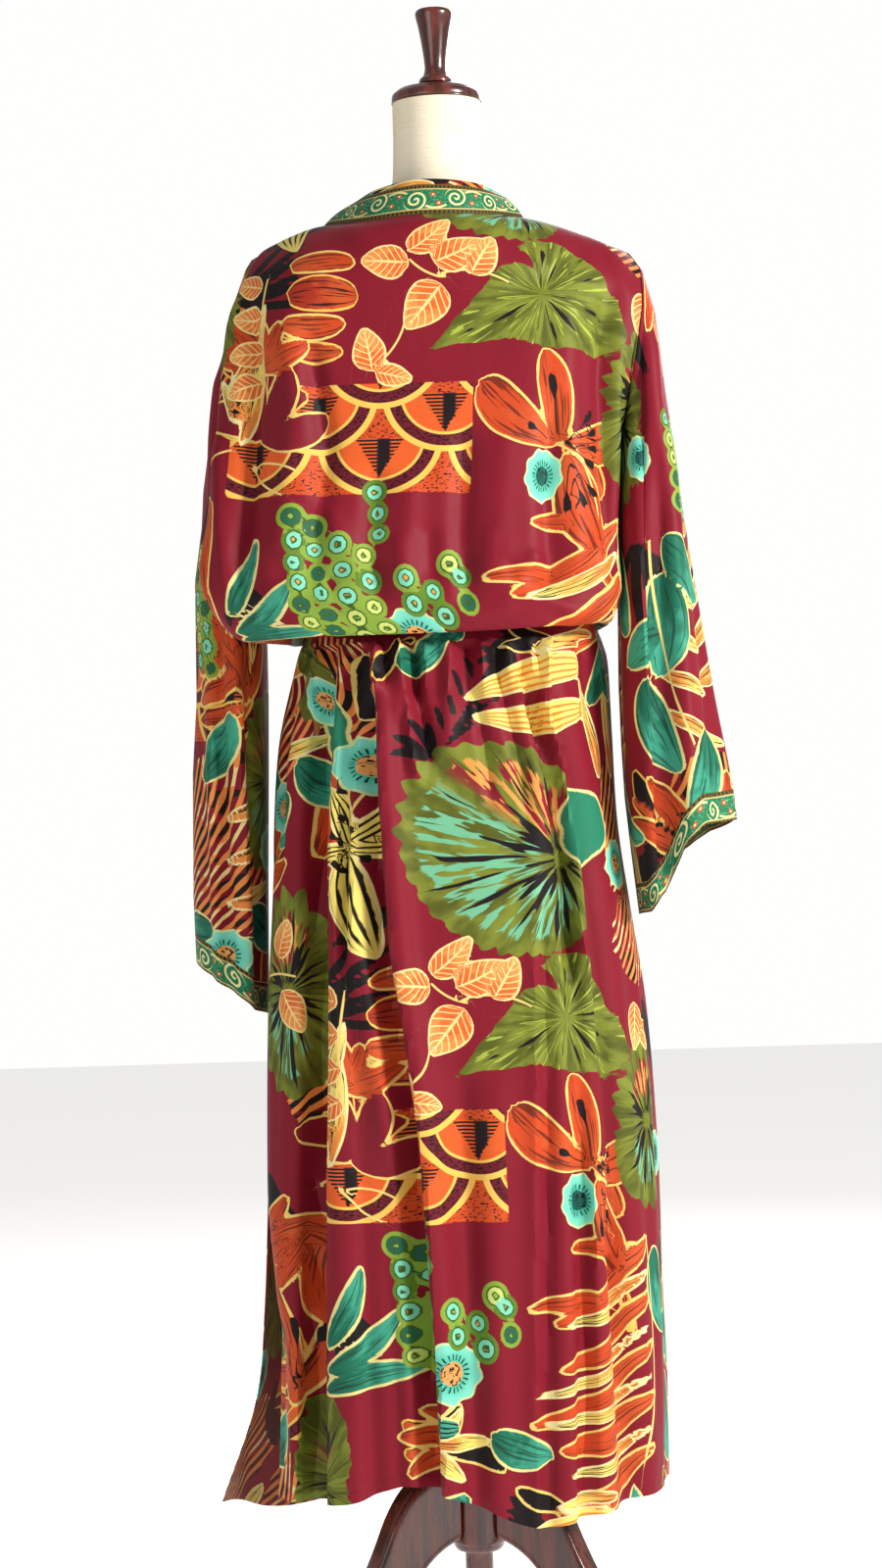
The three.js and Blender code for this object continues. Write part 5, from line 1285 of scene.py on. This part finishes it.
def border_group():
    """Green border along a strip: a wave with a spiral in each bend, between two beaded
    guard stripes with pale edges. Along and Across are millimetres on the strip."""
    g, i, o = new_group("Scroll border", [("Along", "f"), ("Across", "f")], [("Color", "c")])
    s, t = i["Along"], i["Across"]
    pitch = 40.0
    y = g.minus(t, 16.0)
    flip = g.minus(g.times(g.step(g.fract(g.per(s, pitch * 2)), 0.499, 0.501), 2.0), 1.0)
    cx = g.repeat(s, pitch)
    cy = g.times(g.minus(y, g.times(flip, 1.2)), flip)
    r = g.length(cx, cy)
    turn = g.per(g.math("ARCTAN2", cy, cx), 2 * math.pi)
    coil = g.fract(g.minus(g.per(r, 6.2), turn))
    spiral = g.both(g.within(g.minus(coil, 0.5), 0.18, 0.05), g.step(r, 11.6, 11.0))
    wave = g.times(g.math("COSINE", g.times(s, math.pi / pitch)), 10.0)
    swing = g.within(g.minus(y, wave), 1.2, 0.3)
    color = rgb("2C7A50")
    fleck = g.noise(g.vector(g.per(s, 2.6), g.per(t, 2.2)), 2.0)
    color = g.mix(g.step(fleck, 0.60, 0.64), color, rgb("63C49A"))
    color = g.mix(g.step(fleck, 0.36, 0.33), color, rgb("17503A"))
    color = g.mix(swing, color, rgb("E9DC96"))
    color = g.mix(g.step(r, 12.6, 12.0), color, g.mix(g.step(fleck, 0.5, 0.6), rgb("1F6B4A"), rgb("2F8F66")))
    color = g.mix(spiral, color, SCROLL)
    dot_x = g.plus(g.size(cx), -17.0)
    dot_y = g.plus(cy, 6.0)
    dot = g.length(dot_x, dot_y)
    color = g.mix(g.step(dot, 2.9, 2.5), color, rgb("C2502A"))
    color = g.mix(g.step(dot, 1.3, 0.9), color, SCROLL)
    guard = g.minus(g.size(y), 14.2)  # middle of both guard stripes
    color = g.mix(g.step(guard, -3.4, -3.0), color, rgb("6B5A28"))
    bead = g.math("SQRT", g.plus(g.math("POWER", g.repeat(s, 4.4), 2.0), g.math("POWER", guard, 2.0)))
    color = g.mix(g.step(bead, 1.5, 1.1), color, rgb("241C12"))
    color = g.mix(g.within(g.plus(guard, 3.0), 0.5, 0.25), color, rgb("E3D08A"))
    wire(g, color, o["Color"])
    return g.tree


def crepe_group():
    """Crepe: fine uneven threads both ways, a sewn line near the hem, and painted shade over their
    relief: lighter where the crinkle rises, darker where it sinks and in the sewn line's dents.
    Gives a height for bump, a shade and a roughness."""
    g, _, o = new_group("Crepe", [], [("Height", "f"), ("Shade", "f"), ("Roughness", "f")])
    x, y, edge, _ = g.field("cloth")
    warp = g.noise(g.vector(g.times(x, 1.4), g.per(y, 5.0)), 2.0)
    weft = g.noise(g.vector(g.per(x, 5.0), g.times(y, 1.4)), 2.0)
    crinkle = g.noise(g.vector(g.per(x, 16.0), g.per(y, 24.0)), 4.0, 0.6)
    sewn = g.within(g.minus(edge, 11.0), 0.5, 0.25)
    dash = g.step(g.fract(g.per(g.plus(x, y), 3.4)), 0.32, 0.38)
    sewn = g.both(sewn, dash)
    fold = g.step(edge, 12.2, 11.4)
    height = g.plus(g.times(g.plus(warp, weft), 0.10), g.times(crinkle, 0.55))
    height = g.plus(height, g.times(fold, 0.35))
    wire(g, g.minus(height, g.times(sewn, 0.4)), o["Height"])
    # painted shade: lighter where the crinkle rises, darker where it sinks and along the sewn line's dents
    shade = g.minus(g.plus(0.84, g.times(crinkle, 0.12)), g.times(sewn, 0.22))
    wire(g, shade, o["Shade"])
    wire(g, g.plus(0.46, g.times(crinkle, 0.2)), o["Roughness"])
    return g.tree


def new_material(name):
    """A material of one Principled shader, with its graph and the shader's inputs."""
    material = bpy.data.materials.new(name)
    material.use_nodes = True
    material.node_tree.nodes.clear()
    g = Graph(material.node_tree)
    shader = g.put("ShaderNodeBsdfPrincipled", out=None)
    out = g.put("ShaderNodeOutputMaterial", out=None)
    wire(g, shader.outputs[0], out.inputs[0])
    return material, g, shader.inputs


def cloth_material(name, reverse=False, border=None):
    """Printed crepe. The reverse is the same print seen through: duller and paler. border is
    how far up the strip the scroll border reaches."""
    material, g, ins = new_material(name)
    color = g.put("ShaderNodeGroup", node_tree=PRINT)
    if border is not None:
        s, t, _, _ = g.field("border")
        scroll = g.put("ShaderNodeGroup", (s, t), node_tree=BORDER)
        color = g.mix(g.step(t, border + 0.3, border - 0.3), color, scroll)
    crepe = g.put("ShaderNodeGroup", out=None, node_tree=CREPE).outputs
    # the crepe's shade, painted lighter and darker with its relief, and darker still on the reverse
    shade = g.times(crepe["Shade"], 0.72 if reverse else 1.0)
    grey = g.put("ShaderNodeCombineColor", (shade, shade, shade))
    dark = g.put("ShaderNodeMix", {0: 1.0, 6: color, 7: grey}, 2, data_type="RGBA", blend_type="MULTIPLY")
    if reverse:
        dark = g.mix(0.24, dark, rgb("8A4A42"))
    bump = g.put("ShaderNodeBump", {"Strength": 0.45, "Distance": 0.0012, "Height": crepe["Height"]})
    wire(g, dark, ins["Base Color"])
    wire(g, crepe["Roughness"], ins["Roughness"])
    wire(g, bump, ins["Normal"])
    for label, value in (("Sheen Weight", 0.03), ("Sheen Roughness", 0.4), ("Specular IOR Level", 0.16)):
        ins[label].default_value = value
    return material


def wood_material(name, base, dark, roughness, coat):
    """Stained hardwood under varnish: grain lines drawn out along the piece, fine pores, and
    paler wear where the noise is high."""
    material, g, ins = new_material(name)
    place = g.put("ShaderNodeTexCoord", out=3)
    grain = g.noise(g.put("ShaderNodeMapping", {0: place, 3: (90.0, 90.0, 9.0)}), 5.0, 0.62)
    pores = g.noise(g.put("ShaderNodeMapping", {0: place, 3: (900.0, 900.0, 60.0)}), 2.0)
    color = g.mix(g.step(grain, 0.38, 0.62), dark, base)
    color = g.mix(g.both(g.step(pores, 0.56, 0.66), 0.5), color, rgb("1E0907"))
    wire(g, color, ins["Base Color"])
    wire(g, g.plus(roughness, g.times(grain, 0.12)), ins["Roughness"])
    ridges = {"Strength": 0.25, "Distance": 0.0004, "Height": g.plus(grain, pores)}
    wire(g, g.put("ShaderNodeBump", ridges), ins["Normal"])
    ins["Coat Weight"].default_value = coat
    ins["Coat Roughness"].default_value = 0.12
    return material


def linen_material():
    """Plain-woven linen cover: crossed threads, uneven slubs and a faint yellowing."""
    material, g, ins = new_material("linen cover")
    x, y, z = g.parts(g.put("ShaderNodeTexCoord", out=3))
    around = g.plus(x, y)
    threads = 5200.0  # radians of thread for each metre
    warp = g.math("SINE", g.times(around, threads))
    weft = g.math("SINE", g.times(z, threads))
    slub = g.noise(g.vector(g.times(around, 120.0), g.times(z, 700.0)), 3.0)
    shade = g.noise(g.vector(g.times(x, 14.0), g.times(y, 14.0), g.times(z, 14.0)), 3.0)
    color = g.mix(g.step(shade, 0.3, 0.7), rgb("E9D9B8"), rgb("F6EAD0"))
    color = g.mix(g.both(g.step(slub, 0.55, 0.7), 0.4), color, rgb("D9C6A0"))
    height = g.plus(g.times(g.plus(warp, weft), 0.2), slub)
    wire(g, color, ins["Base Color"])
    wire(g, g.plus(0.82, g.times(slub, 0.12)), ins["Roughness"])
    wire(g, g.put("ShaderNodeBump", {"Strength": 0.3, "Distance": 0.0006, "Height": height}), ins["Normal"])
    return material


PRINT, BORDER, CREPE = print_group(), border_group(), crepe_group()
BAND_PRINTED, CUFF_PRINTED = 33.0, 40.0  # how far across each strip its border reaches
face = cloth_material("printed crepe")
reverse = cloth_material("printed crepe reverse", reverse=True)
band_face = cloth_material("neck band print", border=BAND_PRINTED)
cuff_face = cloth_material("cuff border print", border=CUFF_PRINTED)
band_reverse = cloth_material("border reverse", reverse=True, border=BAND_PRINTED)
wood = wood_material("varnished wood", rgb("6A2A1C"), rgb("3A120C"), 0.2, 0.6)
linen = linen_material()


# ------------------------------------------------------------------ cloth pieces
CHEST_PLACE, SKIRT_PLACE = 115, 575  # how far down the print those rows of the body lie
FRONT_PLACE = 480  # how far round the print the fronts' side edges lie
SLEEVE_TOP_PLACE = 1504  # height whose cloth has the print's first row
SLEEVE_PLACES = {"left": -310, "right": 300}
FADE = 34  # how far in from a panel's edges its creases grow to their full depth
BACKWARDS, FORWARDS = np.array([0, -1.0, 0]), np.array([0, 1.0, 0])


def path_down(points, v):
    """Place on the cloth's length: path length down each column from the chest row, and below
    the belt from the skirt's first row, each from its level on the cloth."""
    down = path_lengths(points)
    from_row = lambda row: down - down[int(np.searchsorted(v, row))][None, :]
    blouse, skirt = CHEST_PLACE + from_row(CHEST_ROW), SKIRT_PLACE + from_row(SKIRT_ROW)
    return lerp(blouse, skirt, smoothstep(SKIRT_ROW - 4, SKIRT_ROW, v)[:, None])


def path_across(points, zero):
    """Path length along each row, signed, from the column zero."""
    across = path_lengths(points[..., :2], 1)
    return across - across[:, zero:zero + 1]


def hem_distance(points):
    """Path length from each point down its column to the hem."""
    return path_lengths(points[::-1])[::-1]


def fit_side(grid, v, j, side, half):
    """A panel's side edge follows the armhole above the underarm, and stays on its own side of
    the shared seam below the belt."""
    above = (v > 0) & (v < SIDE_SEAM_ROW)
    grid[above, j] = armhole_at(side, grid[above, j, 2], half)
    below = v >= SKIRT_ROW
    grid[below, j, 1] = half * np.maximum(half * grid[below, j, 1], SEAM / 2)


def fade_in(grid, reach):
    """1 inside a panel, falling to 0 at its side edges and its top edge."""
    rows, cols = grid.shape[:2]
    j = np.minimum(np.arange(cols), cols - 1 - np.arange(cols)) * SPACING
    i = np.arange(rows) * SPACING
    return smoothstep(0, reach, i)[:, None] * smoothstep(0, reach, j)[None, :]


def back_panel():
    """The back: the net moved out by the skirt's large folds, fitted to the side seams, and
    moved along its normals by the creases. The print skips the cloth that lies in pleats."""
    grid, v = even_net(back_net(), SPACING)
    x, y, z = grid[..., 0], grid[..., 1], grid[..., 2]
    skirt = (v >= SKIRT_ROW)[:, None]
    inside = smoothstep(0, 40, np.minimum(x + 205, 200 - x)) * smoothstep(-20, -60, y)
    cloth_x = path_across(grid, int(np.argmin(np.abs(x[len(x) // 2]))))
    grown = smoothstep(1120, 1000, z) * skirt
    for line, tucked in TUCKED:
        side = math.copysign(1, line[0][0])
        off = x - column([(b, a) for a, b in line], z)
        cloth_x += side * tucked * grown * smoothstep(-5, 5, off * side)
    cloth_x -= np.where(skirt, 0, BLOUSE_MOVE[0])
    cloth_y = path_down(grid, v) + np.where(skirt, 0, BLOUSE_MOVE[1])
    grid[..., 1] = y - np.where(skirt, inside * folded_out(x, z), 0)
    fit_side(grid, v, 0, "left", -1)
    fit_side(grid, v, -1, "right", -1)
    grid[0, :, 1] = np.minimum(grid[0, :, 1], -SEAM / 2)
    hidden = (v > HIDDEN_ROW) & (v < SKIRT_ROW - 0.3)
    across, up = grid[..., 0], grid[..., 2]
    folds = np.where(skirt, creased(across, up, SKIRT_CREASES), creased(across, up, BLOUSE_CREASES))
    folds = folds * fade_in(grid, FADE) * np.where(hidden, 0.15, 1)[:, None]
    grid = grid + grid_normals(grid, BACKWARDS) * folds[..., None]
    fields = cloth_fields(cloth_x, cloth_y, hem_distance(grid))
    obj = shell("duster_back", grid, grid_normals(grid, BACKWARDS), (face, reverse), fields)
    return obj


def front_panel(side):
    """A front: the net fitted to the side seam and moved along its normals by the creases, but
    not far inwards, where the form is near."""
    left = side == "left"
    grid, v = even_net(front_net(side), SPACING, 0, BAND_COLUMN)
    cloth_x = (path_across(grid, 0) - FRONT_PLACE) * (1 if left else -1)
    cloth_y = path_down(grid, v)
    fit_side(grid, v, 0, side, 1)
    grid[0, :, 1] = SEAM / 2
    folds = creased(grid[..., 0], grid[..., 2], FRONT_CREASES[side]) * fade_in(grid, FADE)
    hidden = (v > HIDDEN_ROW) & (v < SKIRT_ROW + 0.5)
    folds = folds * np.where(hidden, 0.2, 1)[:, None]
    grid = grid + grid_normals(grid, FORWARDS) * np.maximum(folds, -5)[..., None]
    fields = cloth_fields(cloth_x, cloth_y, hem_distance(grid))
    obj = shell(f"duster_front_{side}", grid, grid_normals(grid, FORWARDS), (face, reverse), fields)
    return obj


def sleeve_grid(side, top, bottom, spacing):
    """Rows from one height to the other at each turn, all round, and their cloth places. The
    turns are even along the sleeve's outline at mid height. Creases press the half they are on,
    and fade at the armhole."""
    fine = np.linspace(0.001, 0.999, 200)
    rough = sleeve_point(side, fine, np.full(fine.size, 1050.0))
    ring = path_lengths(rough)
    count = int(round(ring[-1] / spacing))
    turn = np.interp(np.linspace(0, ring[-1], count + 1), ring, fine)
    high, low = top(turn), bottom(turn)
    rows = max(4, int(round(np.abs(high - low).max() / spacing)))
    share = np.linspace(0, 1, rows + 1)[:, None]
    z = lerp(high[None, :], low[None, :], share)
    grid = sleeve_point(side, np.broadcast_to(turn, z.shape), z)
    angle = 2 * np.pi * turn
    guide = np.stack([(1 if side == "left" else -1) * np.cos(angle), -np.sin(angle), 0 * angle], axis=-1)
    normals = grid_normals(grid, guide)
    across = np.broadcast_to(np.linspace(0, ring[-1], count + 1), z.shape) - ring[-1] * 0.3
    folds = 0
    for on_back, crease in SLEEVE_CREASES[side]:
        half = smoothstep(0.1, 0.5, np.sin(angle) * (1 if on_back else -1))
        folds = folds + half[None, :] * creased(grid[..., 0], grid[..., 2], [crease])
    near_seam = smoothstep(0, 26, high[None, :] - z) if rows > 8 else 1
    return grid + normals * (folds * near_seam)[..., None], guide, across, z


def sleeve(side):
    """A sleeve and its cuff: the sleeve's round between two edges each. The upper edge rises as
    the sine of half the angle; the cuff's edges come from its table."""
    flip = 1 if side == "left" else -1
    top = lambda turn: lerp(ARMHOLE_BOTTOM, ARMHOLE_TOP[side], np.sin(np.pi * turn))
    edge = lambda turn: column(CUFF_EDGES[side], turn)
    seam = lambda turn: edge(turn) + CUFF_BAND
    grid, guide, across, z = sleeve_grid(side, top, lambda turn: seam(turn) + SEAM, SPACING)
    cloth_x = SLEEVE_PLACES[side] - flip * across
    fields = cloth_fields(cloth_x, SLEEVE_TOP_PLACE - z, AWAY_FROM_HEM)
    body = shell(f"duster_sleeve_{side}", grid, grid_normals(grid, guide), (face, reverse), fields)
    grid, guide, across, z = sleeve_grid(side, seam, edge, SPACING)
    cloth_x = SLEEVE_PLACES[side] - flip * across
    border = across + 400, z - grid[-1:, :, 2] + 2
    fields = cloth_fields(cloth_x, SLEEVE_TOP_PLACE - z, AWAY_FROM_HEM, border)
    cuff = shell(f"duster_cuff_{side}", grid, grid_normals(grid, guide), (cuff_face, band_reverse), fields)
    return body, cuff


def neck_band():
    """One strip up the left front, round the neck and down the right front. Beside the fronts
    it is the nets' last column; round the neck it is straight between the seam and the free
    edge. Across it bulges as a sine."""

    def side(name, toward):
        """The strip beside one front, from shoulder to hem."""
        net = front_net(name)
        v = even_net(net, 5.0, BAND_COLUMN, BAND_COLUMN + 1)[1]
        grid = net_at(net, v[v > 0.15], BAND_COLUMN + share)
        grid[:, 0, 0] += toward * SEAM
        return grid

    share = np.linspace(0, 1, 10)
    left, right = side("left", 1)[::-1], side("right", -1)
    seam = NECK_LINE[1:8] + [0, 0, 1.5 * SEAM]
    t = np.linspace(0, len(NECK_FREE) - 1, 60)[1:-1]
    low, high = through(seam, t + 1), through(NECK_FREE, t)
    neck = lerp(low[:, None], high[:, None], share[None, :, None])
    grid = np.concatenate([left, neck, right])
    guide = np.zeros_like(grid)
    guide[:, :, 1] = 1
    guide[len(left):len(left) + len(neck), :, :2] = neck[..., :2] - [0, 10]
    normals = grid_normals(grid, guide)
    bulge = 2.2 * np.sin(np.pi * share)
    grid = grid + normals * bulge[None, :, None]
    along = np.broadcast_to(path_lengths(grid[:, 5])[:, None], grid.shape[:2])
    across = np.broadcast_to(share * 40, grid.shape[:2])
    fields = cloth_fields(across + 180, along, AWAY_FROM_HEM, (along, across))
    obj = shell("duster_neck_band", grid, normals, (band_face, band_reverse), fields)
    return obj


def belt_ring():
    """The belt round the waist: its outline, lifted at the overlap, from belt top to bottom. It
    bulges across as a sine and ripples along as two sines."""
    turns = np.linspace(0, 2 * np.pi, 180, endpoint=False)
    ring = np.array([waist_point(a, BELT_CLEAR + BELT_WALL, 0) for a in turns])
    y = ring[:, 1]
    lift = OVERLAP_LIFT * smoothstep(0, 40, y) * smoothstep(115, 75, ring[:, 0])
    ring[:, 1] = np.where(y > 0, y + lift, y)
    share = np.linspace(0, 1, 8)[:, None]
    grid = np.repeat(ring[None], share.size, axis=0)
    grid[..., 2] = lerp(BELT_TOP, BELT_BOTTOM, share)
    closed = np.concatenate([grid, grid[:, :1]], axis=1)
    normals = grid_normals(closed, closed * [1, 1, 0])[:, :-1]
    pull = 0.5 * np.sin(turns * 23) + 0.4 * np.sin(turns * 37 + 1)
    grid = grid + normals * (np.sin(np.pi * share) * 0.8 + pull[None, :] * 0.35)[..., None]
    along = np.broadcast_to(turns * 130, grid.shape[:2])
    down = np.broadcast_to(share * 29, grid.shape[:2])
    fields = cloth_fields(along + 100, down + 590, AWAY_FROM_HEM)
    obj = shell("duster_belt", grid, normals, (face, reverse), fields, BELT_WALL - 0.4, ring=True)
    return obj


KNOT_Y = WAIST_DEPTH + OVERLAP_LIFT + BELT_CLEAR + BELT_WALL + SEAM + 11


def belt_knot():
    """A pulled knot: an ellipsoid, pinched by a bell across each of the two wraps that cross it
    and by shallow folds, the size of a sine."""
    u = np.linspace(0, 2 * np.pi, 72, endpoint=False)[None, :]
    v = np.linspace(0.02, np.pi - 0.02, 40)[:, None]
    x, y, z = np.sin(v) * np.cos(u), np.cos(v) + 0 * u, np.sin(v) * np.sin(u)
    slanting, upright = (x - 0.55 * z) / 0.14, (x + 0.8) / 0.16
    wrap = 1 - 0.12 * np.exp(-slanting**2) - 0.08 * np.exp(-upright**2)
    wrap = wrap - 0.04 * np.abs(np.sin(6 * (z + 0.3 * x)))
    grid = np.stack([6 + 24.5 * x * wrap, KNOT_Y + 10.6 * y * wrap, 1122 + 20.5 * z * wrap], axis=-1)
    points, faces = capped(grid)
    fields = cloth_fields(points[:, 0] + 60, points[:, 2] - 500, AWAY_FROM_HEM)
    obj = make_mesh("duster_belt_knot", points, faces, [face], fields=fields, angle=None)
    return obj


def belt_tail(number, x, z, lean, length):
    """A hanging end: it widens out of the knot, swings forward and ends in a plain hem. It is
    rippled as a cosine across near the knot, and waves gently as a sine all the way down."""
    shape = 90, 10
    t = np.linspace(0, 1, shape[0])[:, None]
    k = np.linspace(-1, 1, shape[1])[None, :]
    half = 18 * (0.6 + 0.4 * smoothstep(0, 0.3, t))
    y = KNOT_Y + 5 + 22 * smoothstep(0, 0.45, t) + 2 * np.sin(t * 9) - np.abs(k) * 2
    y = y + (1 - t) * 2.5 * np.cos(k * 6) * smoothstep(0, 0.1, t) + 1.2 * np.sin(k * 2 + t * 5)
    grid = np.stack(np.broadcast_arrays(x + lean * t + half * k, y, z - length * t), axis=-1).astype(float)
    across = np.broadcast_to(k * 18 + number * 230, shape)
    down = np.broadcast_to(t * length + 80 * number, shape)
    fields = cloth_fields(across, down, hem_distance(grid) + 2)
    normals = grid_normals(grid, FORWARDS)
    obj = shell(f"duster_belt_tail_{number}", grid, normals, (face, reverse), fields)
    return obj


# ------------------------------------------------------------------ form and stand
TURNED_SHARP = 40  # angle past which an edge of a turned piece stays sharp
LEG_THICK = 30
FORM = np.array([  # height, half width, half depth
    (842, 120, 84), (850, 140, 98), (900, 146, 104), (980, 144, 103), (1060, 130, 94), (1120, 119, 86),
    (1180, 124, 89), (1260, 140, 98), (1340, 151, 101), (1400, 160, 92), (1440, 167, 74),
    (1462, 168, 56),
    (1476, 158, 44), (1489, 132, 42), (1500, 96, 46), (1514, 62, 49), (1540, 49, 47), (1580, 45.5, 45),
    (1629, 45, 45)], float)


def stacked(rx, ry, z, count):
    """Ellipses of these half widths and half depths, one above the other."""
    a = np.linspace(0, 2 * np.pi, count, endpoint=False)
    flat = np.broadcast_to(z[:, None], (len(z), count))
    return np.stack([rx[:, None] * np.cos(a), ry[:, None] * np.sin(a), flat], axis=-1)


def form_body():
    """The covered form: ellipses up a smooth curve through its table."""
    z, rx, ry = through(FORM, np.linspace(0, len(FORM) - 1, 150)).T
    rings = stacked(rx, ry, np.clip(z, FORM[0, 0], FORM[-1, 0]), 96)
    return make_mesh("form", *capped(rings), [linen], angle=TURNED_SHARP)


def turned(name, *profile):
    """A turned piece: a smooth profile of (radius, height) carried round the upright axis."""
    profile = np.array(profile, float)
    steps = 8 * (len(profile) - 1)
    r, z = through(profile, np.linspace(0, len(profile) - 1, steps + 1)).T
    r = np.maximum(r, 0.4)
    return make_mesh(name, *capped(stacked(r, r, z, 72)), [wood], angle=TURNED_SHARP)


def bezier(a, b, c, d, count=16):
    """A cubic from a to d drawn towards b and c: with t along it, their weights are (1 - t)^3,
    3t(1 - t)^2, 3t^2(1 - t) and t^3. The start is left out, as the piece before ends there."""
    t = np.linspace(0, 1, count)[1:, None]
    a, b, c, d = (np.array(p, float) for p in (a, b, c, d))
    return a * (1 - t) ** 3 + 3 * b * t * (1 - t) ** 2 + 3 * c * t * t * (1 - t) + d * t**3


def leg(number):
    """A sawn leg: at each step from hub to foot the section between its upper and its lower
    curve is a rounded rectangle, cosine and sine of the angle to the power 0.3."""
    upper = np.concatenate([
        [(29.6, 238), (34, 240)],
        bezier((34, 240), (58, 248), (86, 234), (108, 188)),
        bezier((108, 188), (136, 124), (178, 60), (233, 43)),
        bezier((233, 43), (254, 37), (282, 38), (283.5, 22), 10), [(284, 8)]])
    lower = np.concatenate([
        [(29.6, 168), (34, 167)],
        bezier((34, 167), (58, 158), (76, 142), (90, 114)),
        bezier((90, 114), (130, 50), (184, 9), (238, 0.4)),
        bezier((238, 0.4), (252, 0.2), (268, 0.2), (279, 0.2), 10), [(281, 0.4)]])
    a = np.linspace(0, 2 * np.pi, 40, endpoint=False)
    c = np.sign(np.cos(a)) * np.abs(np.cos(a)) ** 0.3
    s = np.sign(np.sin(a)) * np.abs(np.sin(a)) ** 0.3
    middle, half = (upper + lower) / 2, (upper - lower) / 2
    out, z = np.moveaxis(middle[:, None] + half[:, None] * s[None, :, None], -1, 0)
    across = LEG_THICK / 2 * c
    turn = math.radians(90 + 120 * number)
    x = out * math.cos(turn) - across * math.sin(turn)
    y = out * math.sin(turn) + across * math.cos(turn)
    sections = np.stack([x, y, z], axis=-1)
    return make_mesh(f"stand_leg_{number + 1}", *capped(sections), [wood])


PIECES = [  # each piece, the node that it stands for, and its material slot
    (back_panel(), "back", "printed_crepe"),
    (front_panel("left"), "front_left", "printed_crepe"),
    (front_panel("right"), "front_right", "printed_crepe"),
    (neck_band(), "neck_band", "border_print"),
    (belt_ring(), "belt", "printed_crepe"),
    (belt_knot(), "belt_knot", "printed_crepe"),
    (belt_tail(1, -8, 1101.7, -26, 380), "belt_tail_1", "printed_crepe"),
    (belt_tail(2, 18, 1101.5, 30, 350), "belt_tail_2", "printed_crepe"),
    (form_body(), "form_body", "linen_cover"),
    (turned(
        "neck_cap_turned", (1, 1629.4), (42, 1629.4), (45, 1631), (45.5, 1634), (44.5, 1638),
        (41, 1641), (37, 1643.5), (26, 1646), (12, 1648.4), (1, 1648.6)), "neck_cap", "dark_wood"),
    (turned(
        "finial_turned", (1, 1649), (15.5, 1649), (17, 1651), (16, 1654), (12.5, 1657.5),
        (10.8, 1664), (11.2, 1673), (12.6, 1684), (14.4, 1696), (16.6, 1708), (18.8, 1718),
        (18.6, 1722), (16, 1724.6), (9, 1725.3), (1, 1725.5)), "finial", "dark_wood"),
    (turned(
        "pole_turned", (1, 300.4), (12.6, 300.4), (13, 304), (13, 500), (13, 700), (13, 838),
        (12.6, 841.6), (1, 841.6)), "pole", "dark_wood"),
    (turned(
        "hub_turned", (1, 154), (20, 154), (24.5, 157), (26.5, 161), (29, 168), (29, 190), (29, 230),
        (28.6, 250), (25.4, 256), (25, 262), (27, 268), (27, 274), (23, 281), (19.5, 290),
        (16.4, 298), (15, 300), (1, 300)), "hub", "dark_wood"),
    *[(leg(n), f"leg_{n + 1}", "dark_wood") for n in range(3)],
]
for side in ("left", "right"):
    body, cuff = sleeve(side)
    PIECES += [(body, f"sleeve_{side}", "printed_crepe"), (cuff, f"cuff_{side}", "border_print")]
for obj, node, slot in PIECES:
    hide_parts(node)


# ------------------------------------------------------------------ floor, light, camera
floor = bpy.data.meshes.new("floor")
floor.from_pydata([(-6, -6, 0), (6, -6, 0), (6, 8, 0), (-6, 8, 0)], [], [(0, 1, 2, 3)])
floor_obj = bpy.data.objects.new("floor", floor)
bpy.context.scene.collection.objects.link(floor_obj)
pale, _, ins = new_material("pale floor")
for label, value in (("Base Color", (0.85, 0.84, 0.82, 1)), ("Emission Color", (1, 1, 0.99, 1)),
                     ("Emission Strength", 0.48), ("Roughness", 0.7)):
    ins[label].default_value = value
floor.materials.append(pale)
floor_obj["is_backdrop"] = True

# a bright world to the camera's eye, which lights the part more softly
world = bpy.data.worlds.new("studio")
world.use_nodes = True
world.node_tree.nodes.clear()
sky = Graph(world.node_tree)
seen = sky.put("ShaderNodeLightPath", out=0)
lit = sky.put("ShaderNodeBackground", ((1.0, 0.99, 0.97, 1), 0.4))
shown = sky.put("ShaderNodeBackground", ((1.0, 1.0, 0.99, 1), 1.0))
mixed = sky.put("ShaderNodeMixShader", (seen, lit, shown))
wire(sky, mixed, sky.put("ShaderNodeOutputWorld", out=None).inputs[0])
bpy.context.scene.world = world


def area_light(name, place, aim, size, power, color=(1, 1, 1)):
    """A round lamp turned from its place to its aim: its tilt is the arccosine of the drop over
    the length, and its turn the arctangent of the sideways steps."""
    light = bpy.data.lights.new(name, "AREA")
    light.shape, light.size, light.energy, light.color = "DISK", size, power, color
    obj = bpy.data.objects.new(name, light)
    toward = np.array(aim, float) - np.array(place, float)
    length = np.linalg.norm(toward)
    obj.location = place
    obj.rotation_euler = (math.acos(-toward[2] / length), 0, math.atan2(-toward[0], toward[1]))
    bpy.context.scene.collection.objects.link(obj)


# name, place, aim, size, power, colour
area_light("key", (2.5, -1.8, 2.2), (0, 0, 0.95), 0.8, 128, (1, 0.98, 0.95))
area_light("fill", (-2.0, -2.8, 1.4), (0, 0, 0.9), 1.8, 14, (0.97, 0.98, 1))
area_light("behind", (0.8, 2.8, 2.4), (0, 0, 1.0), 1.8, 45)

CAMERA = AXIS + [-16, -3400, 935]
ROLL = 0.03
camera = bpy.data.cameras.new("camera")
camera.sensor_fit = "VERTICAL"
camera.sensor_height = 36
camera.lens = 76.5
camera_obj = bpy.data.objects.new("camera", camera)
camera_obj.location = CAMERA / 1000
camera_obj.rotation_euler = (math.pi / 2, ROLL, 0)
bpy.context.scene.collection.objects.link(camera_obj)
bpy.context.scene.camera = camera_obj
bpy.context.scene.view_settings.view_transform = "Standard"

visual_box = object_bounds()
as_list = lambda box: [[float(value) for value in corner] for corner in box]
{"cad": as_list(cad_box), "visual": as_list(visual_box)}
